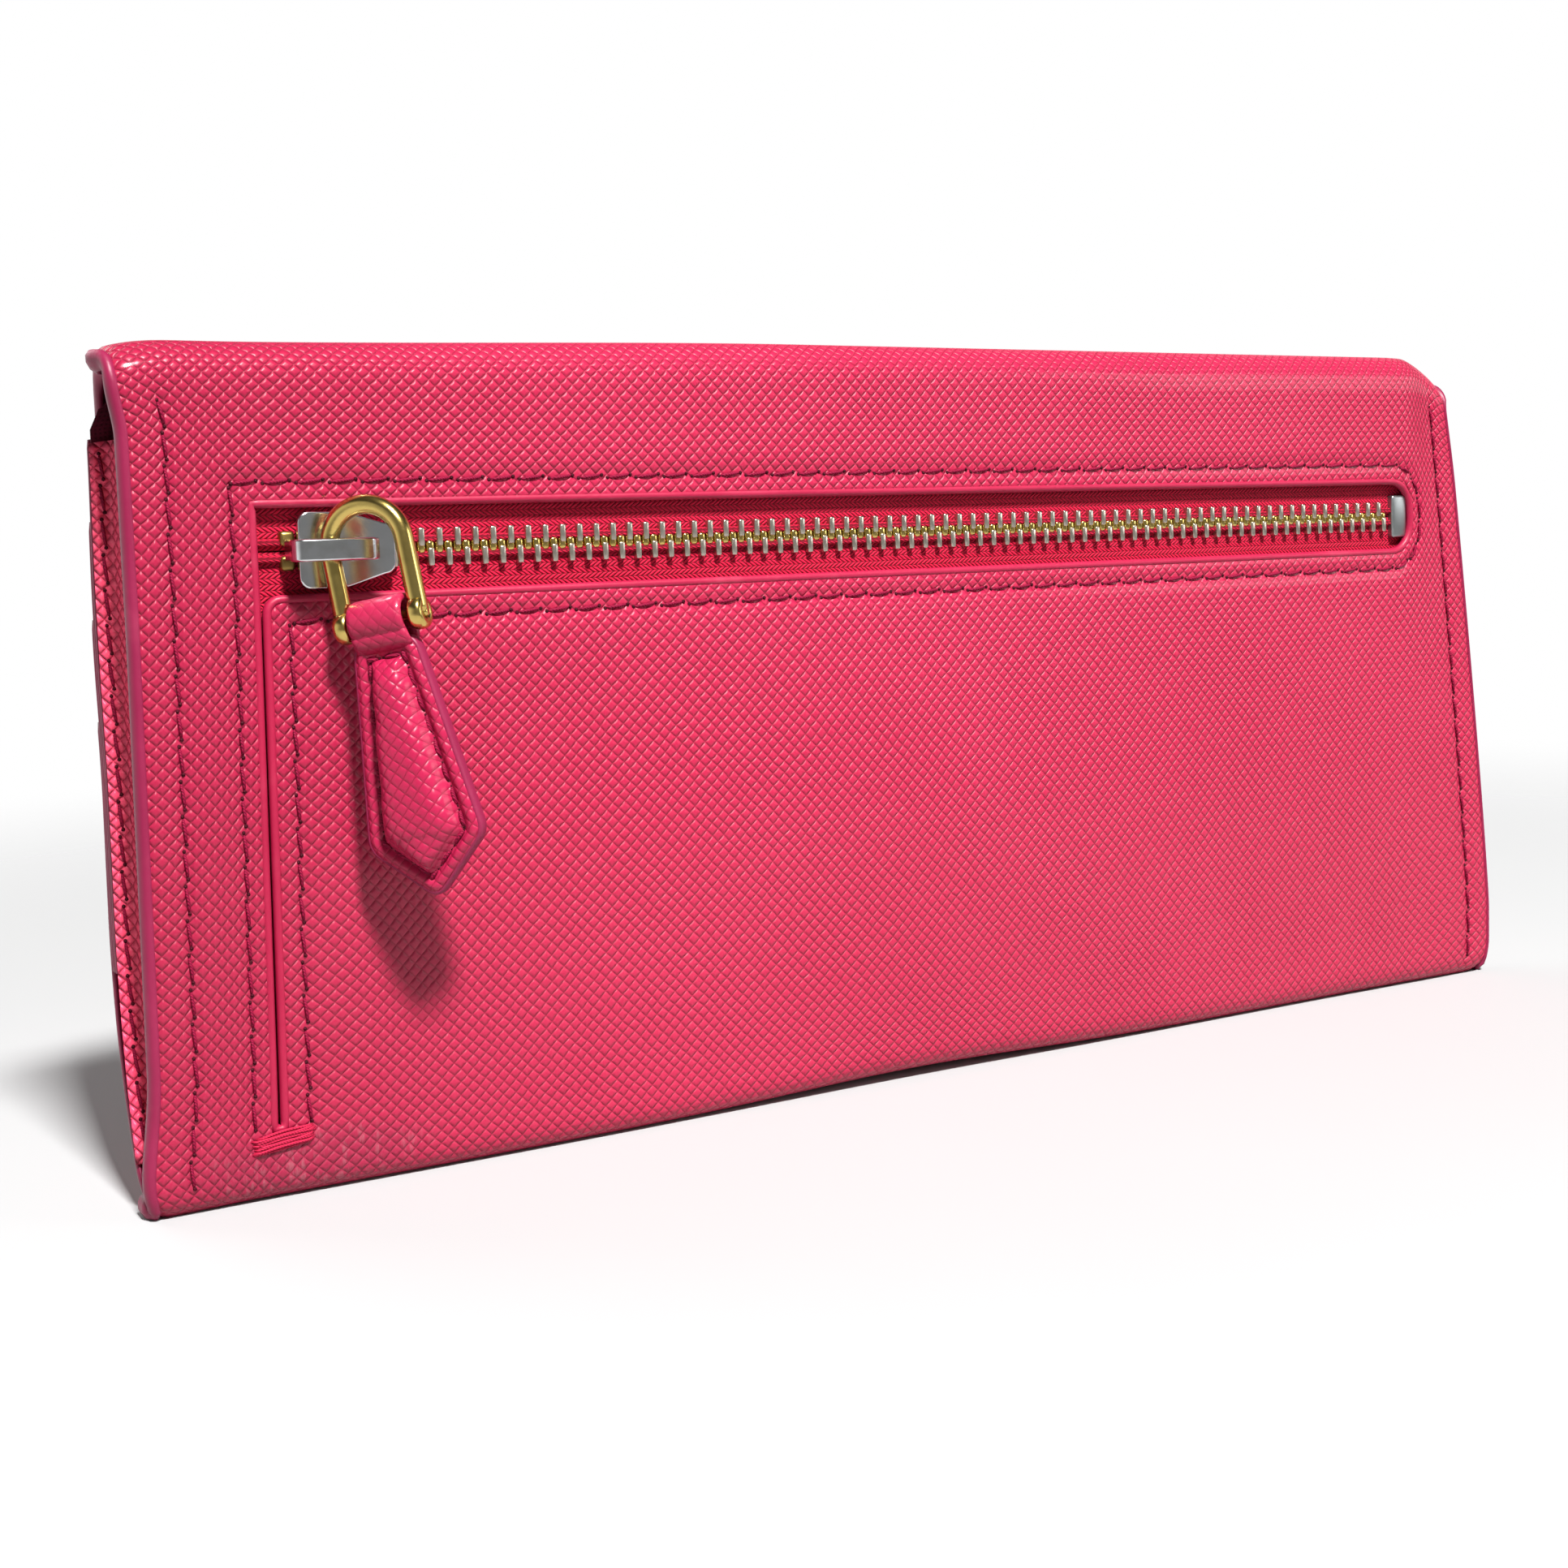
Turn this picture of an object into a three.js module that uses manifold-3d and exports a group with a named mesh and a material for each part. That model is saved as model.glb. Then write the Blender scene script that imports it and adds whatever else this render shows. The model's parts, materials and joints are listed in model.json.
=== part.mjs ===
// A long flap wallet with an L-shaped zip pocket in its back, standing on its bottom fold.
// Millimetres, +Z up. X runs along the width, the zip pocket faces -Y and the flap hangs down the +Y side.
// The origin is on the flat underside, midway along the width.
import * as THREE from "three";
import { mergeVertices } from "three/addons/utils/BufferGeometryUtils.js";
import Module from "manifold-3d";

const wasm = await Module();
wasm.setup();

// Driving dimensions
const width = 192;
const height = 90;
const depth = 21.2;
const leather = 1.2;
const lining = 0.5;
const gap = 0.3;
const foldRadius = 4;

// Layers from the back face to the front face
const back = -depth / 2;
const front = depth / 2;
const backInner = back + leather;
const tapeBack = backInner + gap + lining;
const chainY = backInner + gap + lining / 2;
const pocketFront = -7.4;
const pocketBack = -1.8;
const cardBackingY = 3.0;
const tierThickness = 0.7;
const tierStep = tierThickness + gap;
const firstTierY = cardBackingY + lining + gap;
const frontPanelY = 6.8;
const frontPanel = 1.0;
const flapLiningY = 8.1;
const stiffenerY = 8.7;

// Heights
const leafTop = height - foldRadius - gap;
const cardBackingTop = 84;
const tierTops = [80.2, 70.9, 60.7];
const tierBottom = 24;
const frontPanelTop = 50;
const snapZ = 30;
const snapRadius = 5;
const studRadius = 2.5;
const flapBottom = 20;
const flapCorner = 12;

// Zip pocket
const windowLeft = -82.6;
const windowRight = 83.5;
const windowBottom = 62.5;
const windowTop = 72.4;
const windowCorner = 4.5;
const slitWidth = 1.2;
const slitBottom = 7.5;
const chainZ = (windowBottom + windowTop) / 2;
const toothPitch = 2.05;
const toothWidth = 0.85;
const toothReach = 1.1;
const chainHalf = 2.05;
const toothBand = 0.8;
const toothThickness = 2.2;
const teethLeft = -77;
const teethPerSide = 76;
const tapeLeft = -85;
const tapeRight = 88;
const tapeReach = 9;
const pocketLeft = -87;
const pocketBottom = 8;
const pocketTop = 78;

// Slider and pull
const sliderX = -72.8;
const sliderLength = 10.4;
const sliderWide = 8.0;
const sliderNarrow = 5.4;
const plateThickness = 0.9;
const sliderTopY = -11.0;
const sliderBottomY = -7.6;
const bridgeLeft = -6.7;
const bridgeRight = 2.4;
const bridgeWidth = 2.3;
const bridgeHeel = 2.2;
const bridgeWall = 1.2;
const bridgeRoof = 1.0;
const bridgeChamfer = 0.9;
const tunnelHeight = 2.9;
const tunnelX = sliderX - 2.5;
const ringWire = 1.05;
const ringRadius = 4.2;
const ringArcZ = -0.4;
const ringLegZ = -8.2;
const eyeRadius = 1.7;
const eyeThickness = 1.5;
const pinRadius = 0.6;
const ringTwist = THREE.MathUtils.degToRad(45);
const ringLean = THREE.MathUtils.degToRad(10);
const tabLayer = 1.2;
const tabFill = 0.8;
const tabSkinGap = 0.1;
const tabNeckHalf = 3.3;
const tabHalf = 6.3;
const tabNeckZ = -3.0;
const tabCornerZ = -23;
const tabTipZ = -28.8;

const leatherLook = { color: 0xc93a5e, roughness: 0.55, metalness: 0 };
const liningLook = { color: 0x7c2036, roughness: 0.9, metalness: 0 };
const tapeLook = { color: 0xcc1238, roughness: 0.85, metalness: 0 };
const silverLook = { color: 0xb9b6b0, roughness: 0.3, metalness: 1 };
const goldLook = { color: 0xc9a25a, roughness: 0.25, metalness: 1 };
const threadLook = { color: 0x96203f, roughness: 0.8, metalness: 0 };

const wallet = new THREE.Group();

// Adds one named sub-part, with a material of its own
function piece(name, geometry, look, parent = wallet) {
  const mesh = new THREE.Mesh(geometry, new THREE.MeshStandardMaterial(look));
  mesh.name = name;
  parent.add(mesh);
  return mesh;
}

// A box between two corners
function box(x0, x1, y0, y1, z0, z1) {
  const geometry = new THREE.BoxGeometry(x1 - x0, y1 - y0, z1 - z0);
  return geometry.translate((x0 + x1) / 2, (y0 + y1) / 2, (z0 + z1) / 2);
}

// An outline drawn in X and Z, made into a plate between two Y values
function plate(shape, y0, y1) {
  const geometry = new THREE.ExtrudeGeometry(shape, { depth: y1 - y0, bevelEnabled: false, curveSegments: 8 });
  return geometry.rotateX(Math.PI / 2).translate(0, y1, 0);
}

// A profile drawn in Y and Z, drawn out along X
function profile(shape, x0, x1) {
  const geometry = new THREE.ExtrudeGeometry(shape, { depth: x1 - x0, bevelEnabled: false, curveSegments: 6 });
  const turn = new THREE.Matrix4().makeBasis(
    new THREE.Vector3(0, 1, 0), new THREE.Vector3(0, 0, 1), new THREE.Vector3(1, 0, 0));
  return geometry.applyMatrix4(turn).translate(x0, 0, 0);
}

// A profile drawn in X and Y, drawn out along Z
function column(shape, z0, z1) {
  return new THREE.ExtrudeGeometry(shape, { depth: z1 - z0, bevelEnabled: false }).translate(0, 0, z0);
}

function outline(points) {
  return new THREE.Shape(points.map(([a, b]) => new THREE.Vector2(a, b)));
}

function solid(geometry) {
  const bare = geometry.clone();
  bare.deleteAttribute("normal");
  bare.deleteAttribute("uv");
  const merged = mergeVertices(bare.index ? bare.toNonIndexed() : bare, 1e-4);
  return new wasm.Manifold(new wasm.Mesh({
    numProp: 3,
    vertProperties: new Float32Array(merged.attributes.position.array),
    triVerts: new Uint32Array(merged.index.array),
  }));
}

function geometryOf(manifold) {
  const mesh = manifold.getMesh();
  const geometry = new THREE.BufferGeometry();
  geometry.setAttribute("position", new THREE.BufferAttribute(mesh.vertProperties, 3));
  geometry.setIndex(new THREE.BufferAttribute(mesh.triVerts, 1));
  return geometry;
}

function cylinderAlongY(radius, x, y0, y1, z) {
  return new THREE.CylinderGeometry(radius, radius, y1 - y0, 20).translate(x, (y0 + y1) / 2, z);
}

function cylinderAlongX(radius, x0, x1, segments) {
  const geometry = new THREE.CylinderGeometry(radius, radius, x1 - x0, segments);
  return geometry.rotateZ(Math.PI / 2).translate((x0 + x1) / 2, 0, 0);
}

// Back panel: the zip window turns down its left end as a narrow slit
function backOuterPanel() {
  const half = width / 2;
  const panel = outline([[-half, 2.7], [half, 2.7], [half, leafTop], [-half, leafTop]]);
  const opening = new THREE.Path();
  opening.moveTo(windowLeft, windowTop);
  opening.lineTo(windowLeft, slitBottom);
  opening.lineTo(windowLeft + slitWidth, slitBottom);
  opening.lineTo(windowLeft + slitWidth, windowBottom);
  opening.lineTo(windowRight - windowCorner, windowBottom);
  opening.absarc(windowRight - windowCorner, windowBottom + windowCorner, windowCorner, -Math.PI / 2, 0);
  opening.absarc(windowRight - windowCorner, windowTop - windowCorner, windowCorner, 0, Math.PI / 2);
  opening.closePath();
  panel.holes.push(opening);
  piece("back_outer_panel", plate(panel, back, backInner), leatherLook);
}

// Bottom fold: the leather turning under, with the flat strip the wallet stands on
function bottomFold() {
  const radius = 2.4;
  const flatEnd = 3.6;
  const fold = new THREE.Shape();
  fold.moveTo(back, radius);
  fold.absarc(back + radius, radius, radius, Math.PI, 1.5 * Math.PI);
  fold.lineTo(flatEnd, 0);
  fold.lineTo(flatEnd, leather);
  fold.lineTo(back + radius, leather);
  fold.absarc(back + radius, radius, radius - leather, 1.5 * Math.PI, Math.PI, true);
  fold.closePath();
  piece("bottom_fold", profile(fold, -width / 2, width / 2), leatherLook);
}

// One side of the zip: the woven tape and the row of teeth on its edge
function zipSide(name, side) {
  const tapeInner = chainZ + side * (chainHalf + 0.1);
  const tapeOuter = chainZ + side * tapeReach;
  const tapeLow = Math.min(tapeInner, tapeOuter);
  const tapeHigh = Math.max(tapeInner, tapeOuter);
  piece(`zip_tape_${name}`, box(tapeLeft, tapeRight, tapeBack - lining, tapeBack, tapeLow, tapeHigh), tapeLook);

  const outer = side * chainHalf;
  const root = side * (chainHalf - toothBand);
  const nose = -side * toothReach;
  const start = teethLeft + (side > 0 ? 0 : toothPitch / 2);
  const points = [[start, outer], [start, nose], [start + toothWidth, nose], [start + toothWidth, root]];
  for (let tooth = 1; tooth < teethPerSide; tooth += 1) {
    const x = start + tooth * toothPitch;
    points.push([x, root], [x, nose], [x + toothWidth, nose]);
    if (tooth < teethPerSide - 1) points.push([x + toothWidth, root]);
  }
  points.push([start + (teethPerSide - 1) * toothPitch + toothWidth, outer]);
  const row = plate(outline(points), chainY - toothThickness / 2, chainY + toothThickness / 2);
  piece(`zip_teeth_${name}`, row.translate(0, 0, chainZ), silverLook);

  const stopLow = side > 0 ? chainZ + 0.5 : chainZ - chainHalf;
  const stop = box(-79.6, -78, chainY - 1.1, chainY + 1.1, stopLow, stopLow + 1.55);
  piece(`zip_top_stop_${name}`, stop, goldLook);
}

function zipBottomStop() {
  const stop = box(79.6, 82.4, chainY - 1.2, chainY + 1.2, chainZ - chainHalf, chainZ + chainHalf);
  piece("zip_bottom_stop", stop, silverLook);
}

// Coin pocket: a front lining with the zip's slot, and a tray-shaped back lining
function coinPocket() {
  const right = -pocketLeft;
  const sheet = outline([[pocketLeft, pocketBottom], [right, pocketBottom], [right, pocketTop], [pocketLeft, pocketTop]]);
  const slot = new THREE.Path();
  slot.moveTo(windowLeft - 0.9, windowBottom - 0.6);
  slot.lineTo(windowLeft - 0.9, windowTop + 0.7);
  slot.lineTo(windowRight + 0.5, windowTop + 0.7);
  slot.lineTo(windowRight + 0.5, windowBottom - 0.6);
  slot.closePath();
  sheet.holes.push(slot);
  piece("coin_pocket_front", plate(sheet, pocketFront, pocketFront + lining), liningLook);

  const mouth = pocketFront + lining + 0.1;
  const outside = solid(box(pocketLeft, right, mouth, pocketBack, pocketBottom, pocketTop));
  const inside = solid(box(pocketLeft + lining, right - lining, mouth - 1, pocketBack - lining,
    pocketBottom + lining, pocketTop - lining));
  piece("coin_pocket_back", geometryOf(outside.subtract(inside)), liningLook);
}

// Side gusset: a V fold between the back panel and the card backing
function gusset(name, side) {
  const edge = 94.5;
  const reach = 6.5;
  const foldY = -3;
  const wall = 0.8;
  const rear = backInner + gap;
  const fore = cardBackingY - gap;
  const points = [
    [edge, rear], [edge, rear + wall], [edge - reach + wall, foldY], [edge, fore - wall], [edge, fore],
    [edge - reach - wall / 2, foldY + wall / 2], [edge - reach - wall / 2, foldY - wall / 2],
  ].map(([x, y]) => [side * x, y]);
  piece(`gusset_${name}`, column(outline(points), 5, 80), leatherLook);
}

// Front leaf: card backing, stepped card tiers and the outer panel that curves in at the bottom
function frontLeaf() {
  const half = width / 2 - 0.5;
  const backing = box(-half, half, cardBackingY, cardBackingY + lining, 6, cardBackingTop);
  piece("card_backing", backing, liningLook);
  tierTops.forEach((top, index) => {
    const y = firstTierY + index * tierStep;
    piece(`card_tier_${index + 1}`, box(-half, half, y, y + tierThickness, tierBottom, top), leatherLook);
  });

  const outer = frontPanelY + frontPanel;
  const panel = new THREE.Shape();
  panel.moveTo(outer, frontPanelTop);
  panel.lineTo(frontPanelY, frontPanelTop);
  panel.lineTo(frontPanelY, 22);
  panel.quadraticCurveTo(frontPanelY, 9, 4.1, 2.1);
  panel.lineTo(5.0, 1.6);
  panel.quadraticCurveTo(outer, 8.5, outer, 22);
  panel.closePath();
  const sheet = solid(profile(panel, -half, half));
  const hole = solid(cylinderAlongY(snapRadius + gap, 0, frontPanelY - 1, outer + 1, snapZ));
  piece("front_outer_panel", geometryOf(sheet.subtract(hole)), leatherLook);
}

// Hidden press snap: a ring socket in the front panel and a stud on the flap
function pressSnap() {
  const rim = new THREE.Shape().absarc(0, snapZ, snapRadius, 0, 2 * Math.PI);
  rim.holes.push(new THREE.Path().absarc(0, snapZ, studRadius + 0.6, 0, 2 * Math.PI, true));
  piece("snap_socket", plate(rim, frontPanelY - 0.05, frontPanelY + frontPanel), silverLook);

  const profilePoints = [[0, -1.4], [studRadius - 0.4, -1.4], [studRadius, -1.0], [studRadius, 0], [4.5, 0],
    [4.5, lining], [0, lining]].map(([r, h]) => new THREE.Vector2(r, h));
  const stud = new THREE.LatheGeometry(profilePoints, 20);
  piece("snap_stud", stud.translate(0, flapLiningY, 0).translate(0, 0, snapZ), silverLook);
}

// One quarter turn of leather over a top edge
function quarterFold(name, edgeY, side) {
  const centre = edgeY + side * foldRadius;
  const centreZ = height - foldRadius;
  const shape = new THREE.Shape();
  const from = side > 0 ? Math.PI : 0;
  shape.moveTo(edgeY, centreZ);
  shape.absarc(centre, centreZ, foldRadius, from, Math.PI / 2, side > 0);
  shape.lineTo(centre, height - leather);
  shape.absarc(centre, centreZ, foldRadius - leather, Math.PI / 2, from, side < 0);
  shape.closePath();
  piece(name, profile(shape, -width / 2, width / 2), leatherLook);
}

// Flap: a top strip and a front drop, each of leather and lining, joined by quarter folds
function flap() {
  quarterFold("flap_fold_rear", back, 1);
  quarterFold("flap_fold_front", front, -1);
  const half = width / 2;
  const rear = back + foldRadius + gap;
  const fore = front - foldRadius - gap;
  piece("flap_top_outer", box(-half, half, rear, fore, height - leather, height), leatherLook);
  const liningTop = height - leather - gap;
  piece("flap_top_lining", box(1 - half, half - 1, rear, fore, liningTop - lining, liningTop), liningLook);

  const drop = (inset) => {
    const side = half - inset;
    const corner = flapCorner - inset;
    const low = flapBottom + inset;
    const shape = new THREE.Shape();
    shape.moveTo(-side, leafTop);
    shape.lineTo(-side, low + corner);
    shape.absarc(corner - side, low + corner, corner, Math.PI, 1.5 * Math.PI);
    shape.lineTo(side - corner, low);
    shape.absarc(side - corner, low + corner, corner, 1.5 * Math.PI, 2 * Math.PI);
    shape.lineTo(side, leafTop);
    shape.closePath();
    return shape;
  };
  piece("flap_front_outer", plate(drop(0), front - leather, front), leatherLook);
  piece("flap_stiffener", plate(drop(3), stiffenerY, stiffenerY + lining), liningLook);
  const sheet = solid(plate(drop(1), flapLiningY, flapLiningY + lining));
  const hole = solid(cylinderAlongY(4.8, 0, flapLiningY - 1, flapLiningY + lining + 1, snapZ));
  piece("flap_front_lining", geometryOf(sheet.subtract(hole)), liningLook);
}

// Slider: two plates either side of the chain, and the bridge that holds the pull
function slider() {
  const body = new THREE.Group();
  body.position.set(sliderX, 0, chainZ);
  wallet.add(body);
  const wing = (reach, wide, narrow) => outline([
    [-reach, -wide / 2 + 1.2], [-reach + 1.2, -wide / 2], [0, -wide / 2], [reach - 0.8, -narrow / 2],
    [reach, -narrow / 2 + 0.8], [reach, narrow / 2 - 0.8], [reach - 0.8, narrow / 2], [0, wide / 2],
    [-reach + 1.2, wide / 2], [-reach, wide / 2 - 1.2],
  ]);
  const top = wing(sliderLength / 2, sliderWide, sliderNarrow);
  piece("slider_top_plate", plate(top, sliderTopY, sliderTopY + plateThickness), silverLook, body);
  const bottom = wing(sliderLength / 2 - 0.3, sliderWide - 0.6, sliderNarrow);
  piece("slider_bottom_plate", plate(bottom, sliderBottomY, sliderBottomY + plateThickness - 0.2), silverLook, body);

  const foot = sliderTopY - 0.1;
  const roof = foot - tunnelHeight;
  const crown = roof - bridgeRoof;
  const arch = outline([
    [bridgeLeft, foot], [bridgeLeft, crown + bridgeChamfer], [bridgeLeft + bridgeChamfer, crown],
    [bridgeRight - bridgeChamfer, crown], [bridgeRight, crown + bridgeChamfer], [bridgeRight, foot],
    [bridgeRight - bridgeWall, foot], [bridgeRight - bridgeWall, roof],
    [bridgeLeft + bridgeHeel, roof], [bridgeLeft + bridgeHeel, foot],
  ]);
  piece("slider_bridge", column(arch, -bridgeWidth / 2, bridgeWidth / 2), silverLook, body);
}

// Centre line of the U-shaped pull ring: leg, half circle, leg
class RingPath extends THREE.Curve {
  getPoint(t, target = new THREE.Vector3()) {
    const leg = ringArcZ - ringLegZ;
    const arc = Math.PI * ringRadius;
    const along = t * (2 * leg + arc);
    if (along < leg) return target.set(0, 0, ringLegZ + along);
    if (along > leg + arc) return target.set(2 * ringRadius, 0, ringArcZ - (along - leg - arc));
    const angle = (along - leg) / ringRadius;
    const x = ringRadius * (1 - Math.cos(angle));
    return target.set(x, 0, ringArcZ + ringRadius * Math.sin(angle));
  }
}

// The pull: the ring turned on its leg in the bridge, its pin, and the padded tab hanging on the pin
function pull() {
  const twisted = new THREE.Group();
  twisted.position.set(tunnelX, sliderTopY - 0.1 - tunnelHeight / 2, chainZ);
  twisted.rotation.z = -ringTwist;
  const leaning = new THREE.Group();
  leaning.rotation.y = -ringLean;
  twisted.add(leaning);
  wallet.add(twisted);

  const section = new THREE.Shape().absarc(0, 0, ringWire, 0, 2 * Math.PI);
  const wire = new THREE.ExtrudeGeometry(section, {
    steps: 30, curveSegments: 5, bevelEnabled: false, extrudePath: new RingPath() });
  let ring = solid(wire);
  for (const x of [0, 2 * ringRadius]) {
    const eye = cylinderAlongX(eyeRadius, x - eyeThickness / 2, x + eyeThickness / 2, 18).translate(0, 0, ringLegZ);
    ring = ring.add(solid(eye));
  }
  const pinHole = cylinderAlongX(pinRadius + 0.12, -3, 2 * ringRadius + 3, 16).translate(0, 0, ringLegZ);
  piece("pull_ring", geometryOf(ring.subtract(solid(pinHole))), goldLook, leaning);
  const pin = cylinderAlongX(pinRadius, -1.1, 2 * ringRadius + 1.1, 16).translate(0, 0, ringLegZ);
  piece("ring_pin", pin, goldLook, leaning);

  const tab = new THREE.Group();
  tab.position.set(ringRadius, 0, ringLegZ);
  leaning.add(tab);
  const loop = new THREE.Shape().absarc(0, 0, 2.7, 0, 2 * Math.PI);
  loop.holes.push(new THREE.Path().absarc(0, 0, 1.3, 0, 2 * Math.PI, true));
  piece("tab_loop", profile(loop, -3.1, 3.1), leatherLook, tab);
  const tabShape = (inset) => outline([
    [-tabNeckHalf + inset, tabNeckZ - inset], [-tabHalf + inset, tabCornerZ], [0, tabTipZ + 1.4 * inset],
    [tabHalf - inset, tabCornerZ], [tabNeckHalf - inset, tabNeckZ - inset],
  ]);
  const fillHalf = tabFill / 2;
  const skin = fillHalf + tabSkinGap;
  piece("tab_filler", plate(tabShape(1.2), -fillHalf, fillHalf), liningLook, tab);
  piece("tab_front", plate(tabShape(0), -skin - tabLayer, -skin), leatherLook, tab);
  piece("tab_back", plate(tabShape(0), skin, skin + tabLayer), leatherLook, tab);
}

// Bar tack: the close zigzag of thread that ends the slit
function barTack() {
  const tack = box(windowLeft - 2.4, windowLeft + 3.4, back - 0.5, back - 0.05, slitBottom - 1.9, slitBottom - 0.3);
  piece("bar_tack", tack, threadLook);
}

backOuterPanel();
bottomFold();
zipSide("upper", 1);
zipSide("lower", -1);
zipBottomStop();
coinPocket();
gusset("left", -1);
gusset("right", 1);
frontLeaf();
pressSnap();
flap();
slider();
pull();
barTack();

export default wallet;
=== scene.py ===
import json
import math

import bmesh
import bpy
import numpy as np
from mathutils import Matrix, Vector


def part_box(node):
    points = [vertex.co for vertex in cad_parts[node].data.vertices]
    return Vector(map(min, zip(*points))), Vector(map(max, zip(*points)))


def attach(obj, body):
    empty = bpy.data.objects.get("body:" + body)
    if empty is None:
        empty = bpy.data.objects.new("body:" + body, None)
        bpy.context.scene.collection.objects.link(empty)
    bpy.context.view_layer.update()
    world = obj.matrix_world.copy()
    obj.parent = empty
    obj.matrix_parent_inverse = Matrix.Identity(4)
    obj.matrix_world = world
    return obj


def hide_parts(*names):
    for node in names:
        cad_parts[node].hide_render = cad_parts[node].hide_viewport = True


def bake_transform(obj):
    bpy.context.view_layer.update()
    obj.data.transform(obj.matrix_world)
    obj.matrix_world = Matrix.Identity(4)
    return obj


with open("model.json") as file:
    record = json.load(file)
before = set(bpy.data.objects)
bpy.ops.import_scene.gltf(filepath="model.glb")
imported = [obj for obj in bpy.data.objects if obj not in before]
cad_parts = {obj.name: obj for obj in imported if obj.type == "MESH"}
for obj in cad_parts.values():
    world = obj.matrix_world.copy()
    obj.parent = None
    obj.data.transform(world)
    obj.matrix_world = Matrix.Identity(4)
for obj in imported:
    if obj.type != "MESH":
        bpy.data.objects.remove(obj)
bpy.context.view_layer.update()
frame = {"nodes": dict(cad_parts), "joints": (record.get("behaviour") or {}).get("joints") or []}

mm = 0.001

# Sizes taken from the frame
back_low, back_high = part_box("back_outer_panel")
flap_low, flap_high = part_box("flap_front_outer")
fold_low, fold_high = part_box("flap_fold_rear")
_, top_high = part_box("flap_top_outer")
lining_low, lining_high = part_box("flap_front_lining")
_, under_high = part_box("bottom_fold")
half = back_high.x
back = back_low.y
front = flap_high.y
skin = back_high.y - back_low.y
fold_radius = fold_high.y - fold_low.y
top = top_high.z
fold_z = top - fold_radius
under_radius = under_high.z
flap_hem = flap_low.z
upper_teeth_low, upper_teeth_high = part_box("zip_teeth_upper")
lower_teeth_low, lower_teeth_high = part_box("zip_teeth_lower")
upper_tape_low, upper_tape_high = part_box("zip_tape_upper")
lower_tape_low, lower_tape_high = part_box("zip_tape_lower")
chain_z = (upper_teeth_high.z + lower_teeth_low.z) / 2
chain_y = (upper_teeth_low.y + upper_teeth_high.y) / 2
joint = {j["name"]: j for j in frame["joints"]}

# The opening in the back panel
slot_left = -82.6 * mm
slot_right = 83.5 * mm
slot_low = 62.5 * mm
slot_high = 72.4 * mm
slot_corner = 4.5 * mm
slit_width = 1.2 * mm
slit_foot = 7.5 * mm

stitch_pitch = 3.5 * mm
edge_inset = 4.0 * mm


# ---------------------------------------------------------------- shader maths

class Value:
    """A shader socket that takes part in Python sums."""

    def __init__(self, shade, socket):
        self.shade = shade
        self.socket = socket

    def sum(self, operation, *others):
        return self.shade.node("ShaderNodeMath", {"operation": operation}, dict(enumerate((self, *others))))

    def __add__(self, other):
        return self.sum("ADD", other)

    def __sub__(self, other):
        return self.sum("SUBTRACT", other)

    def __rsub__(self, other):
        return self.shade.node("ShaderNodeMath", {"operation": "SUBTRACT"}, {0: other, 1: self})

    def __mul__(self, other):
        return self.sum("MULTIPLY", other)

    def __truediv__(self, other):
        return self.sum("DIVIDE", other)

    def __pow__(self, other):
        return self.sum("POWER", other)

    __radd__ = __add__
    __rmul__ = __mul__

    def fraction(self):
        return self.sum("FRACT")

    def size(self):
        return self.sum("ABSOLUTE")

    def most(self, other):
        return self.sum("MAXIMUM", other)

    def between(self, low, high):
        """0 below low, 1 above high, smooth between."""
        return self.shade.node("ShaderNodeMapRange", {"interpolation_type": "SMOOTHSTEP"},
                               {"Value": self, "From Min": low, "From Max": high})


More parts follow.
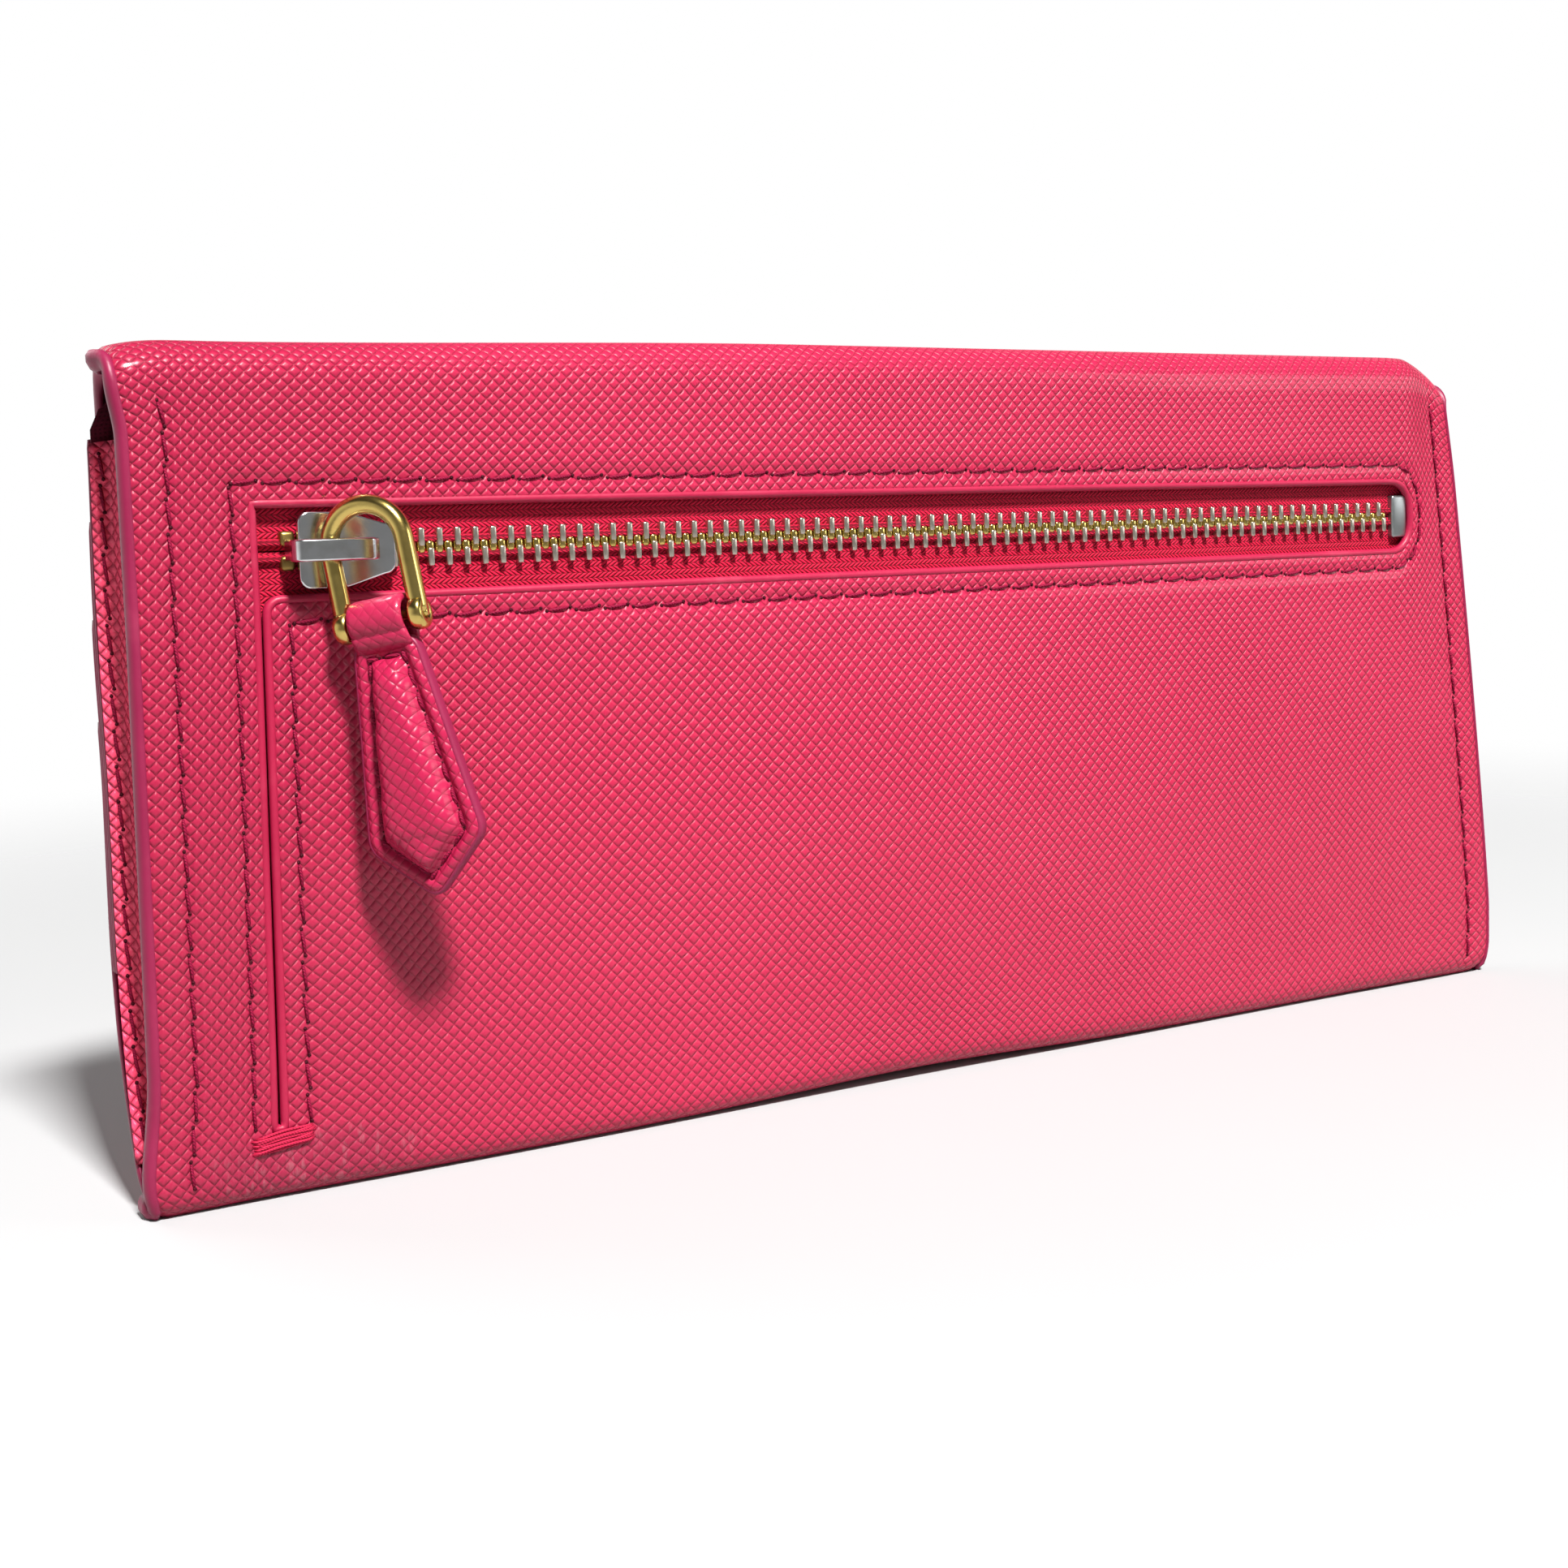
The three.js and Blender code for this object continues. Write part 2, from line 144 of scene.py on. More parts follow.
class Shade:
    """One procedural material."""

    def __init__(self, name, metallic=0.0, roughness=0.5, **fixed):
        self.material = bpy.data.materials.new(name)
        self.material.use_nodes = True
        self.tree = self.material.node_tree
        self.surface = self.tree.nodes["Principled BSDF"]
        self.surface.inputs["Metallic"].default_value = metallic
        self.surface.inputs["Roughness"].default_value = roughness
        for socket, value in fixed.items():
            self.surface.inputs[socket.replace("_", " ")].default_value = value

    def node(self, kind, settings=None, sockets=None, output=0):
        made = self.tree.nodes.new(kind)
        for key, value in (settings or {}).items():
            setattr(made, key, value)
        for key, value in (sockets or {}).items():
            self.feed(made.inputs[key], value)
        return Value(self, made.outputs[output])

    def feed(self, socket, value):
        if isinstance(value, Value):
            self.tree.links.new(value.socket, socket)
        else:
            socket.default_value = value

    def set(self, socket, value):
        self.feed(self.surface.inputs[socket], value)

    def place(self):
        """Place on the flat sheet, in metres."""
        return self.node("ShaderNodeUVMap", {"uv_map": "grain"})

    def inside(self):
        """Place in the piece's own space."""
        return self.node("ShaderNodeTexCoord", output=3)

    def split(self, vector):
        made = self.tree.nodes.new("ShaderNodeSeparateXYZ")
        self.feed(made.inputs[0], vector)
        return [Value(self, made.outputs[i]) for i in range(3)]

    def noise(self, vector, scale, detail=2.0, roughness=0.5, output=0):
        return self.node("ShaderNodeTexNoise", {}, {"Vector": vector, "Scale": scale, "Detail": detail,
                                                    "Roughness": roughness}, output)

    def mix(self, factor, first, second):
        made = self.tree.nodes.new("ShaderNodeMix")
        made.data_type = "RGBA"
        self.feed(made.inputs[0], factor)
        self.feed(made.inputs[6], first)
        self.feed(made.inputs[7], second)
        return Value(self, made.outputs[2])

    def warp(self, vector, scale, amount):
        """vector pushed about by noise, by up to about half of amount."""
        push = self.node("ShaderNodeVectorMath", {"operation": "SUBTRACT"},
                         {0: self.noise(vector, scale, output=1), 1: (0.5, 0.5, 0.5)})
        push = self.node("ShaderNodeVectorMath", {"operation": "SCALE"}, {0: push, "Scale": amount})
        return self.node("ShaderNodeVectorMath", {"operation": "ADD"}, {0: vector, 1: push})

    def bump(self, height, depth):
        self.set("Normal", self.node("ShaderNodeBump", {}, {"Height": height, "Distance": depth,
                                                            "Strength": 1.0}))


def rgb(red, green, blue):
    """A linear colour from three display values, 0 to 255."""
    def linear(value):
        share = value / 255
        return share / 12.92 if share <= 0.04045 else ((share + 0.055) / 1.055) ** 2.4
    return (linear(red), linear(green), linear(blue), 1.0)


def make_leather(name, main, deep, light, depth=0.30, gloss=0.30, worn_and_shaded=False):
    """Cross-hatch embossed calf: slanting ridges cut into small pillows, under a hard glossy finish.

    The worn option adds real scuffs at the bottom left corner, and painted shade: the colour is darkened at
    that corner and towards the left end, where less light falls.
    """
    shade = Shade(name, roughness=gloss, Coat_Weight=0.18, Coat_Roughness=0.12, Specular_IOR_Level=0.25)
    uv = shade.place()
    bent = shade.warp(shade.warp(uv, 16.0, 2.6 * mm), 380.0, 0.34 * mm)
    x, y, _ = shade.split(bent)
    pitch = 1.0 * mm
    slope = math.radians(44)
    ridge = ((x * -math.sin(slope) + y * math.cos(slope)) / pitch).fraction()
    cut = ((x * math.cos(slope) + y * math.sin(slope)) / (pitch * 1.05)).fraction()
    ridge_height = 1 - ((ridge * 2 - 1).size() ** 3.2)
    cut_height = 1 - ((cut * 2 - 1).size() ** 3.2)
    patch = shade.noise(bent, 70.0, 2.0)
    cut_depth = patch.between(0.30, 0.70) * 0.15 + 0.85
    pillow = ridge_height * (1 - cut_depth + cut_depth * cut_height)
    fine = shade.noise(uv, 2600.0, 3.0, 0.6)
    crumple = shade.noise(uv, 700.0, 2.0)
    height = pillow + fine * 0.08 + crumple * 0.30 + shade.noise(uv, 150.0) * 0.6

    cloud = shade.noise(uv, 26.0, 3.0)
    colour = shade.mix(pillow.between(0.0, 0.45), deep, main)
    colour = shade.mix(cloud.between(0.35, 0.8) * 0.35, colour, light)
    rough = gloss + fine * 0.12 + (1 - pillow) * 0.15
    if worn_and_shaded:
        u, v, _ = shade.split(uv)
        away = ((u + 80 * mm) / (15 * mm)) ** 2 + ((v - 17.0 * mm) / (4.0 * mm)) ** 2
        corner = 1 - away.between(0.10, 1.1)
        streaks = shade.noise(shade.node("ShaderNodeMapping", {}, {
            "Vector": uv, "Rotation": (0, 0, math.radians(28)), "Scale": (1100, 220, 1)}), 1.0, 4.0, 0.7)
        scuff = corner * streaks.between(0.50, 0.66) * pillow.between(0.2, 0.8)
        colour = shade.mix(scuff * 0.55, colour, rgb(176, 120, 126))
        # Painted shade: the bottom left corner is darkened in the colour, for the light falling off there.
        colour = shade.mix(corner * 0.35, colour, rgb(104, 24, 50))
        # Painted shade: the colour darkens towards the left end, where less light falls.
        colour = shade.mix((0 - u).between(0.03, 0.10) * 0.42, colour, rgb(116, 14, 44))
        rough = rough + scuff * 0.15
        height = height - scuff * 0.25
    shade.set("Base Color", colour)
    shade.set("Roughness", rough)
    shade.bump(height, depth * mm)
    return shade.material


def make_edge_paint(name, dark, light, rubbed):
    """Thick satin edge paint with a slight brush wobble."""
    shade = Shade(name, roughness=0.42, Coat_Weight=0.06, Coat_Roughness=0.3, Specular_IOR_Level=0.3)
    inside = shade.inside()
    cloud = shade.noise(inside, 160.0, 3.0)
    fine = shade.noise(inside, 1500.0, 3.0)
    rub = shade.noise(inside, 55.0, 4.0, 0.65).between(0.58, 0.72)
    colour = shade.mix(cloud, dark, light)
    shade.set("Base Color", shade.mix(rub * 0.5, colour, rubbed))
    shade.set("Roughness", 0.36 + cloud * 0.2)
    shade.bump(cloud * 0.6 + fine * 0.4, 0.08 * mm)
    return shade.material


def make_tape():
    """Herringbone woven zip tape: slanting ribs that change direction every half pitch."""
    shade = Shade("zip_tape_weave", roughness=0.6, Specular_IOR_Level=0.25)
    uv = shade.place()
    x, y, _ = shade.split(shade.warp(uv, 700.0, 0.12 * mm))
    rib = 0.62 * mm
    fold = ((y / (rib * 2)).fraction() * 2 - 1).size()
    slant = (x / rib + fold * 1.3).fraction()
    thread = 1 - (slant * 2 - 1).size() ** 2
    cross = 1 - ((y / rib).fraction() * 2 - 1).size() ** 3
    weave = thread * (0.45 + cross * 0.55)
    fuzz = shade.noise(uv, 2600.0, 3.0, 0.7)
    colour = shade.mix(weave.between(0.1, 0.8), rgb(108, 0, 24), rgb(182, 4, 48))
    shade.set("Base Color", shade.mix(fuzz.between(0.55, 0.8) * 0.30, colour, rgb(214, 44, 82)))
    shade.set("Roughness", 0.66 + fuzz * 0.25)
    shade.bump(weave + fuzz * 0.35, 0.14 * mm)
    return shade.material


def make_metal(name, bright, dull, roughness, tarnish=0.35):
    """Plated metal: fine polishing lines, small dents and a little tarnish."""
    shade = Shade(name, metallic=1.0, roughness=roughness)
    inside = shade.inside()
    cloud = shade.noise(inside, 330.0, 3.0)
    stretched = shade.node("ShaderNodeMapping", {}, {"Vector": inside, "Scale": (300, 300, 4200)})
    lines = shade.noise(stretched, 1.0, 2.0)
    colour = shade.mix(cloud.between(0.45, 0.75) * tarnish, bright, dull)
    shade.set("Base Color", colour)
    shade.set("Roughness", roughness + cloud * 0.10 + lines * 0.08)
    shade.bump(lines * 0.3 + cloud, 0.02 * mm)
    return shade.material


def make_thread(name, dark, light):
    """Twisted thread: slanting plies."""
    shade = Shade(name, roughness=0.6, Specular_IOR_Level=0.15)
    x, y, z = shade.split(shade.inside())
    ply = ((x + y + z) / (0.34 * mm)).fraction()
    twist = 1 - (ply * 2 - 1).size() ** 2
    fuzz = shade.noise(shade.inside(), 3000.0, 2.0)
    shade.set("Base Color", shade.mix(twist * 0.7 + fuzz * 0.3, dark, light))
    shade.set("Roughness", 0.5 + fuzz * 0.3)
    shade.bump(twist + fuzz * 0.4, 0.05 * mm)
    return shade.material


def make_cloth(name, dark, light):
    """Plain-weave cloth."""
    shade = Shade(name, roughness=0.85, Specular_IOR_Level=0.2)
    uv = shade.place()
    x, y, _ = shade.split(uv)
    pitch = 0.5 * mm
    warp_thread = 1 - ((x / pitch).fraction() * 2 - 1).size() ** 2
    weft_thread = 1 - ((y / pitch).fraction() * 2 - 1).size() ** 2
    weave = warp_thread.most(weft_thread)
    cloud = shade.noise(uv, 60.0, 3.0)
    shade.set("Base Color", shade.mix(weave * (0.7 + cloud * 0.3), dark, light))
    shade.set("Roughness", 0.78 + cloud * 0.15)
    shade.bump(weave, 0.06 * mm)
    return shade.material


rose = make_leather("rose_leather", rgb(166, 27, 62), rgb(142, 14, 48), rgb(174, 36, 70), 0.18, worn_and_shaded=True)
coral = make_leather("coral_leather", rgb(206, 44, 78), rgb(150, 14, 46), rgb(214, 60, 88), 0.30)
# Painted light: a lighter copy of the coral leather for the gussets, standing in for light on their shaded,
# recessed walls.
gusset_painted_light_leather = make_leather("gusset_painted_light_leather", rgb(236, 72, 106), rgb(190, 30, 66), rgb(242, 92, 120), 0.30)
tab_leather = make_leather("tab_leather", rgb(160, 26, 64), rgb(138, 14, 50), rgb(168, 34, 70), 0.10, 0.24)
strap_leather = make_leather("strap_leather", rgb(158, 28, 64), rgb(146, 20, 56), rgb(164, 34, 70), 0.05,
                             0.34)
edge_paint = make_edge_paint("edge_paint", rgb(112, 14, 50), rgb(134, 24, 64), rgb(160, 56, 84))
lip_paint = make_edge_paint("lip_paint", rgb(142, 14, 50), rgb(160, 22, 60), rgb(176, 60, 84))
tape_weave = make_tape()
lining = make_cloth("lining_cloth", rgb(46, 4, 18), rgb(92, 12, 36))
mouth_cloth = make_cloth("mouth_cloth", rgb(96, 0, 16), rgb(164, 6, 34))
nickel = make_metal("polished_nickel", (0.66, 0.67, 0.68, 1), (0.26, 0.24, 0.20, 1), 0.10)
tooth_nickel = make_metal("tooth_nickel", (0.50, 0.45, 0.38, 1), (0.30, 0.26, 0.21, 1), 0.22)
stop_nickel = make_metal("stop_nickel", (0.32, 0.34, 0.34, 1), (0.22, 0.23, 0.24, 1), 0.28)
gold = make_metal("pale_gold", (0.62, 0.46, 0.14, 1), (0.34, 0.24, 0.06, 1), 0.12, 0.5)
brass = make_metal("dull_brass", (0.30, 0.20, 0.06, 1), (0.16, 0.10, 0.04, 1), 0.30, 0.6)
thread = make_thread("raspberry_thread", rgb(84, 0, 30), rgb(138, 12, 52))
tack_thread = make_thread("tack_thread", rgb(150, 8, 44), rgb(184, 36, 70))
# Painted shade: dark specks stand for the shade inside the needle holes.
needle_hole_shade = make_thread("needle_hole_shade", rgb(50, 0, 14), rgb(66, 2, 20))


# ---------------------------------------------------------------- shape helpers

def smooth(value, low, high):
    """0 below low, 1 above high, smooth between."""
    t = np.clip((np.asarray(value, float) - low) / (high - low), 0, 1)
    return t * t * (3 - 2 * t)


def settle(x, y, z):
    """Where a point of the soft body lies once it has sagged, worked out in millimetres."""
    x, y, z = (np.asarray(v, float) / mm for v in (x, y, z))
    size = half / mm
    near_end = smooth(np.abs(x), size - 16, size - 1)

    # The ends: the right one leans in towards the top, both are round at the foot
    foot = 1 - np.sqrt(1 - np.clip((5 - z) / 5.2, 0, 1) ** 2)
    right = 98.4 - 8.5 * np.clip((z - 10) / 75, 0, 1.2) ** 1.15 - 3.2 * foot
    left = 96.9 - 0.7 * np.clip(z / 60, 0, 1) - 1.6 * foot
    back_setback = smooth(-y, 5, 9) * (0.3 + 0.7 * smooth(z, 2, 15)) * (1 - 0.5 * smooth(z, 80, 87))
    left = left - 1.5 * back_setback
    inward = 2.6 * np.maximum(smooth(y, 7.2, 9), smooth(y, -6, 8) * smooth(z, 82, 86) * (x < 0))
    edge = np.where(x > 0, right, left) - inward
    new_x = x + np.sign(x) * (edge - size) * near_end

    # The slit leans with the loose corner of the panel beside it
    lean = np.clip((62 - z) / 55, 0, 1) * smooth(10 - np.abs(x + 82), 0, 10)
    new_x = new_x - lean * smooth(-7 - y, 0, 1)

    # The top corners droop, and the bottom is arched a little off the table
    right_t = np.clip((x - 78) / 19.5, 0, 0.98)
    left_t = np.clip((-89 - x) / 7.6, 0, 0.999)
    droop = 7.0 * (1 - (1 - right_t ** 3.6) ** 0.5) + 1.6 * (1 - np.sqrt(1 - left_t ** 2))
    droop = droop + smooth(-x, 15, 90)
    arch = 0.9 * np.exp(-((x + 2) / 24) ** 2) * smooth(12 - z, 0, 12)
    new_z = z - droop * smooth(z, 70, 90) + arch

    # The front is pinched towards the back at the ends, most of all at the foot
    pinch = 0.16 + 0.09 * smooth(z, 62, 80) + 0.12 * smooth(60 - z, 0, 18)
    pinch = pinch + 0.57 * np.clip(1 - z / 30, 0, 1) ** 2
    anchor = back / mm + 1.4
    new_y = np.where(y > anchor, y + (anchor - y) * pinch * near_end, y)

    # The back bulges and ripples slightly
    swell = 0.8 * np.clip(1 - ((x - 8) / 84) ** 2, 0, 1) * np.sin(math.pi * np.clip(z / 61, 0, 1))
    ripple = 0.22 * np.sin(x / 17.0 + 1.3) * np.sin(z / 23.0 + x / 60.0) * smooth(size - np.abs(x), 0, 20)
    near_back = smooth(back / mm + 2.4 - y, 0, 1.2)
    new_y = new_y - (swell + ripple * smooth(61 - z, 0, 15)) * near_back
    return np.stack([new_x, new_y, new_z], -1) * mm


class Track:
    """A line made of straight runs and arcs in a plane; its left side is the outside."""

    def __init__(self, start):
        self.parts = []
        self.end = np.array(start, float)
        self.length = 0.0

    def line(self, *end):
        end = np.array(end, float)
        size = float(np.linalg.norm(end - self.end))
        self.parts.append(("line", self.length, size, self.end, (end - self.end) / size))
        self.end = end
        self.length += size
        return self

    def arc(self, centre, radius, start, stop):
        start, stop = math.radians(start), math.radians(stop)
        size = abs(stop - start) * radius
        self.parts.append(("arc", self.length, size, np.array(centre, float), (radius, start, stop)))
        self.end = np.array(centre, float) + radius * np.array([math.cos(stop), math.sin(stop)])
        self.length += size
        return self

    def at(self, s):
        """Position and outward direction at arc length s."""
        for kind, begun, size, base, data in self.parts:
            if s <= begun + size + 1e-9:
                break
        along = min(max(s - begun, 0), size)
        if kind == "line":
            return base + data * along, np.array([-data[1], data[0]])
        radius, start, stop = data
        angle = start + (stop - start) * along / size
        outward = np.array([math.cos(angle), math.sin(angle)])
        return base + radius * outward, outward * (1 if stop < start else -1)


def spread(low, high, step, special=()):
    """Even steps from low to high, with extra lines at the special places."""
    count = max(1, round((high - low) / step))
    values = list(np.linspace(low, high, count + 1))
    for place in special:
        if low <= place <= high:
            values = [v for v in values if abs(v - place) > step * 0.18 or v in (low, high)]
            if min(abs(v - place) for v in values) > 1e-7:
                values.append(place)
    return sorted(values)


def add_piece(name, mesh, material):
    """A smooth shaded object of a mesh, in the scene."""
    mesh.polygons.foreach_set("use_smooth", [True] * len(mesh.polygons))
    mesh.materials.append(material)
    mesh.update()
    made = bpy.data.objects.new(name, mesh)
    bpy.context.scene.collection.objects.link(made)
    return made


def new_mesh(name, points, faces, material, uvs=None):
    mesh = bpy.data.meshes.new(name)
    mesh.from_pydata([tuple(p) for p in points], [], [tuple(f) for f in faces])
    if uvs is not None:
        layer = mesh.uv_layers.new(name="grain")
        corners = np.empty(len(mesh.loops), int)
        mesh.loops.foreach_get("vertex_index", corners)
        layer.data.foreach_set("uv", np.asarray(uvs, float)[corners].reshape(-1))
    return add_piece(name, mesh, material)


def turn_faces_out(piece):
    shape = bmesh.new()
    shape.from_mesh(piece.data)
    bmesh.ops.recalc_face_normals(shape, faces=shape.faces[:])
    shape.to_mesh(piece.data)
    shape.free()


def distance_to_rows(x, s, rows):
    """Least distance from each point to a set of polylines."""
    least = np.full(np.shape(x), 1.0)
    for row in rows:
        for (ax, ay), (bx, by) in zip(row, row[1:]):
            dx, dy = bx - ax, by - ay
            size = dx * dx + dy * dy
            t = np.clip(((x - ax) * dx + (s - ay) * dy) / size, 0, 1)
            least = np.minimum(least, np.hypot(x - ax - t * dx, s - ay - t * dy))
    return least


class Sheet:
    """A thickness of leather or cloth that follows a track across the width."""

    def __init__(self, track, thickness, shape=settle):
        self.track = track
        self.thickness = thickness
        self.shape = shape
        self.seams = []
        self.edges = []

    def relief(self, x, s):
        """How far the surface is pulled in by its stitch rows and rounded off at its edges."""
        lift = np.zeros(np.shape(x))
        if self.seams:
            lift = lift - 0.36 * mm * np.exp(-(distance_to_rows(x, s, self.seams) / (0.60 * mm)) ** 2)
        if self.edges:
            lift = lift - 0.30 * mm * np.exp(-(distance_to_rows(x, s, self.edges) / (0.5 * mm)) ** 2)
        return lift

    def points(self, xs, ss, offset=0.0):
        """World points for lists of x and arc length, offset outward."""
        xs, ss = np.asarray(xs, float), np.asarray(ss, float)
        offset = np.broadcast_to(offset, xs.shape)
        bases = [self.track.at(s) for s in ss]
        flat = np.array([b[0] for b in bases])
        out = np.array([b[1] for b in bases])
        return self.shape(xs, flat[:, 0] + out[:, 0] * offset, flat[:, 1] + out[:, 1] * offset)

    def normals(self, xs, ss):
        step = 0.05 * mm
        xs, ss = np.asarray(xs, float), np.asarray(ss, float)
        across = self.points(xs + step, ss) - self.points(xs - step, ss)
        along = self.points(xs, ss + step) - self.points(xs, ss - step)
        n = np.cross(across, along)
        return n / np.maximum(np.linalg.norm(n, axis=1, keepdims=True), 1e-12)

    def build(self, name, xs, ss, material, present=None, snap=None, turn=(0.0, 0.0)):
        nx, ns = len(xs), len(ss)
        grid_x, grid_s = np.meshgrid(xs, ss, indexing="ij")
        kept = np.ones((nx - 1, ns - 1), bool)
        if present is not None:
            mid_x = (grid_x[:-1, :-1] + grid_x[1:, 1:]) / 2
            mid_s = (grid_s[:-1, :-1] + grid_s[1:, 1:]) / 2
            kept = present(mid_x, mid_s)
        if snap is not None:
            padded = np.zeros((nx + 1, ns + 1), int)
            padded[1:-1, 1:-1] = kept
            beside = padded[:-1, :-1] + padded[1:, :-1] + padded[:-1, 1:] + padded[1:, 1:]
            rim = (beside > 0) & (beside < 4)
            grid_x, grid_s = snap(grid_x, grid_s, rim)
        flat_x, flat_s = grid_x.ravel(), grid_s.ravel()
        lift = self.relief(flat_x, flat_s)
        outer = self.points(flat_x, flat_s, lift)
        inner = self.points(flat_x, flat_s, -self.thickness)
        points = np.concatenate([outer, inner])
        uvs = np.stack([flat_x + turn[0], flat_s + turn[1]], -1)
        uvs = np.concatenate([uvs, uvs])
        shift = nx * ns
        faces = []

        def index(i, j):
            return i * ns + j

        for i in range(nx - 1):
            for j in range(ns - 1):
                if not kept[i, j]:
                    continue
                a, b, c, d = index(i, j), index(i + 1, j), index(i + 1, j + 1), index(i, j + 1)
                faces.append((a, b, c, d))
                faces.append((d + shift, c + shift, b + shift, a + shift))
                if j == 0 or not kept[i, j - 1]:
                    faces.append((b, a, a + shift, b + shift))
                if j == ns - 2 or not kept[i, j + 1]:
                    faces.append((d, c, c + shift, d + shift))
                if i == 0 or not kept[i - 1, j]:
                    faces.append((a, d, d + shift, a + shift))
                if i == nx - 2 or not kept[i + 1, j]:
                    faces.append((c, b, b + shift, c + shift))
        used = sorted({v for f in faces for v in f})
        renumber = {v: k for k, v in enumerate(used)}
        faces = [tuple(renumber[v] for v in f) for f in faces]
        return new_mesh(name, points[used], faces, material, uvs[used])

    def bead(self, name, row, closed=False, wide=0.34, material=None, deep=0.0):
        """Painted edge: a flattened tube along a row, half way through the sheet and what lies under it."""
        row = resample(row, 0.8 * mm, closed)
        xs, ss = row[:, 0], row[:, 1]
        thickness = self.thickness + deep * mm
        centre = self.points(xs, ss, -thickness / 2)
        normal = self.normals(xs, ss)
        return tube(name, centre, normal, thickness / 2 + 0.02 * mm, wide * mm, closed,
                    material or edge_paint)

    def stitches(self, name, rows):
        """Rows of slanting stitches that dip into the leather at both ends, and dark specks of painted shade
        at their needle holes.
        """
        bodies, holes = [], []
        for row in rows:
            line = resample(row, 0.1 * mm)
            length = 0.1 * mm * (len(line) - 1)
            count = max(1, int(length / stitch_pitch))
            true_pitch = length / count
            for k in range(count):
                t = np.linspace(-1, 1, 7)
                place = (k + 0.5 + t * 0.40) * true_pitch / (0.1 * mm)
                low = np.clip(place.astype(int), 0, len(line) - 2)
                share = (place - low)[:, None]
                spots = line[low] * (1 - share) + line[low + 1] * share
                run = line[np.clip(low + 1, 0, len(line) - 1)] - line[low]
                run = run / np.maximum(np.linalg.norm(run, axis=1, keepdims=True), 1e-12)
                side = np.stack([-run[:, 1], run[:, 0]], -1)
                spots = spots + side * (t * 0.17 * mm)[:, None]
                lift = (0.12 - 0.42 * np.abs(t) ** 2.6) * mm - 0.30 * mm
                centre = self.points(spots[:, 0], spots[:, 1], lift + 0.10 * mm)
                normal = self.normals(spots[:, 0], spots[:, 1])
                bodies.append((centre, normal, 0.18 * mm * np.sqrt(1 - (0.9 * t) ** 4)))
                for end in (0, -1):
                    holes.append(self.points(spots[[end], 0], spots[[end], 1], -0.30 * mm))
        return strands(name, bodies, thread), specks(name + "_holes", np.concatenate(holes), 0.24 * mm)


def resample(row, step, closed=False):
    row = [np.array(p, float) for p in row]
    if closed:
        row = row + [row[0]]
    points = [row[0]]
    for a, b in zip(row, row[1:]):
        count = max(1, math.ceil(np.linalg.norm(b - a) / step - 1e-6))
        points += [a + (b - a) * k / count for k in range(1, count + 1)]
    return np.array(points[:-1] if closed else points)


def tube(name, centre, normal, high, wide, closed, material, sides=10, squareness=1.0):
    """A tube with an elliptical section: high along the normal, wide across it."""
    count = len(centre)
    ahead = np.roll(centre, -1, 0) - np.roll(centre, 1, 0)
    if not closed:
        ahead[0], ahead[-1] = centre[1] - centre[0], centre[-1] - centre[-2]
    ahead /= np.maximum(np.linalg.norm(ahead, axis=1, keepdims=True), 1e-12)
    across = np.cross(ahead, normal)
    across /= np.maximum(np.linalg.norm(across, axis=1, keepdims=True), 1e-12)
    up = np.cross(across, ahead)
    high, wide = np.broadcast_to(high, count), np.broadcast_to(wide, count)
    points, uvs = [], []
    length = np.concatenate([[0], np.cumsum(np.linalg.norm(np.diff(centre, axis=0), axis=1))])
    for k in range(sides):
        angle = 2 * math.pi * k / sides
        c, s = math.cos(angle), math.sin(angle)
        c, s = (math.copysign(abs(v) ** squareness, v) for v in (c, s))
        points.append(centre + up * (high * c)[:, None] + across * (wide * s)[:, None])
        uvs.append(np.stack([length, np.full(count, k / sides * 4 * mm)], -1))
    points, uvs = np.stack(points, 1).reshape(-1, 3), np.stack(uvs, 1).reshape(-1, 2)
    faces = []
    last = count if closed else count - 1
    for i in range(last):
        n = (i + 1) % count
        for k in range(sides):
            m = (k + 1) % sides
            faces.append((i * sides + k, i * sides + m, n * sides + m, n * sides + k))
    if not closed:
        faces.append(tuple(reversed(range(sides))))
        faces.append(tuple(range((count - 1) * sides, count * sides)))
    return new_mesh(name, points, faces, material, uvs)


def strands(name, bodies, material, sides=8):
    """Many short round strands in one piece."""
    points, faces = [], []
    for centre, normal, radius in bodies:
        start = len(points)
        ahead = np.gradient(centre, axis=0)
        ahead /= np.maximum(np.linalg.norm(ahead, axis=1, keepdims=True), 1e-12)
        across = np.cross(ahead, normal)
        across /= np.maximum(np.linalg.norm(across, axis=1, keepdims=True), 1e-12)
        up = np.cross(across, ahead)
        for i in range(len(centre)):
            for k in range(sides):
                angle = 2 * math.pi * k / sides
                round_it = up[i] * math.cos(angle) + across[i] * math.sin(angle)
                points.append(centre[i] + radius[i] * round_it)
        for i in range(len(centre) - 1):
            for k in range(sides):
                m = (k + 1) % sides
                faces.append((start + i * sides + k, start + i * sides + m,
                              start + (i + 1) * sides + m, start + (i + 1) * sides + k))
        faces.append(tuple(start + k for k in reversed(range(sides))))
        finish = start + (len(centre) - 1) * sides
        faces.append(tuple(finish + k for k in range(sides)))
    return new_mesh(name, points, faces, material)


def specks(name, places, radius):
    """Small dark round spots at the needle holes: painted shade for the holes."""
    template = bmesh.new()
    bmesh.ops.create_icosphere(template, subdivisions=1, radius=1.0)
    shape = np.array([v.co for v in template.verts])
    triangles = [[v.index for v in f.verts] for f in template.faces]
    template.free()
    points = np.concatenate([place + shape * radius for place in places])
    faces = [[v + k * len(shape) for v in f] for k in range(len(places)) for f in triangles]
    return new_mesh(name, points, faces, needle_hole_shade)


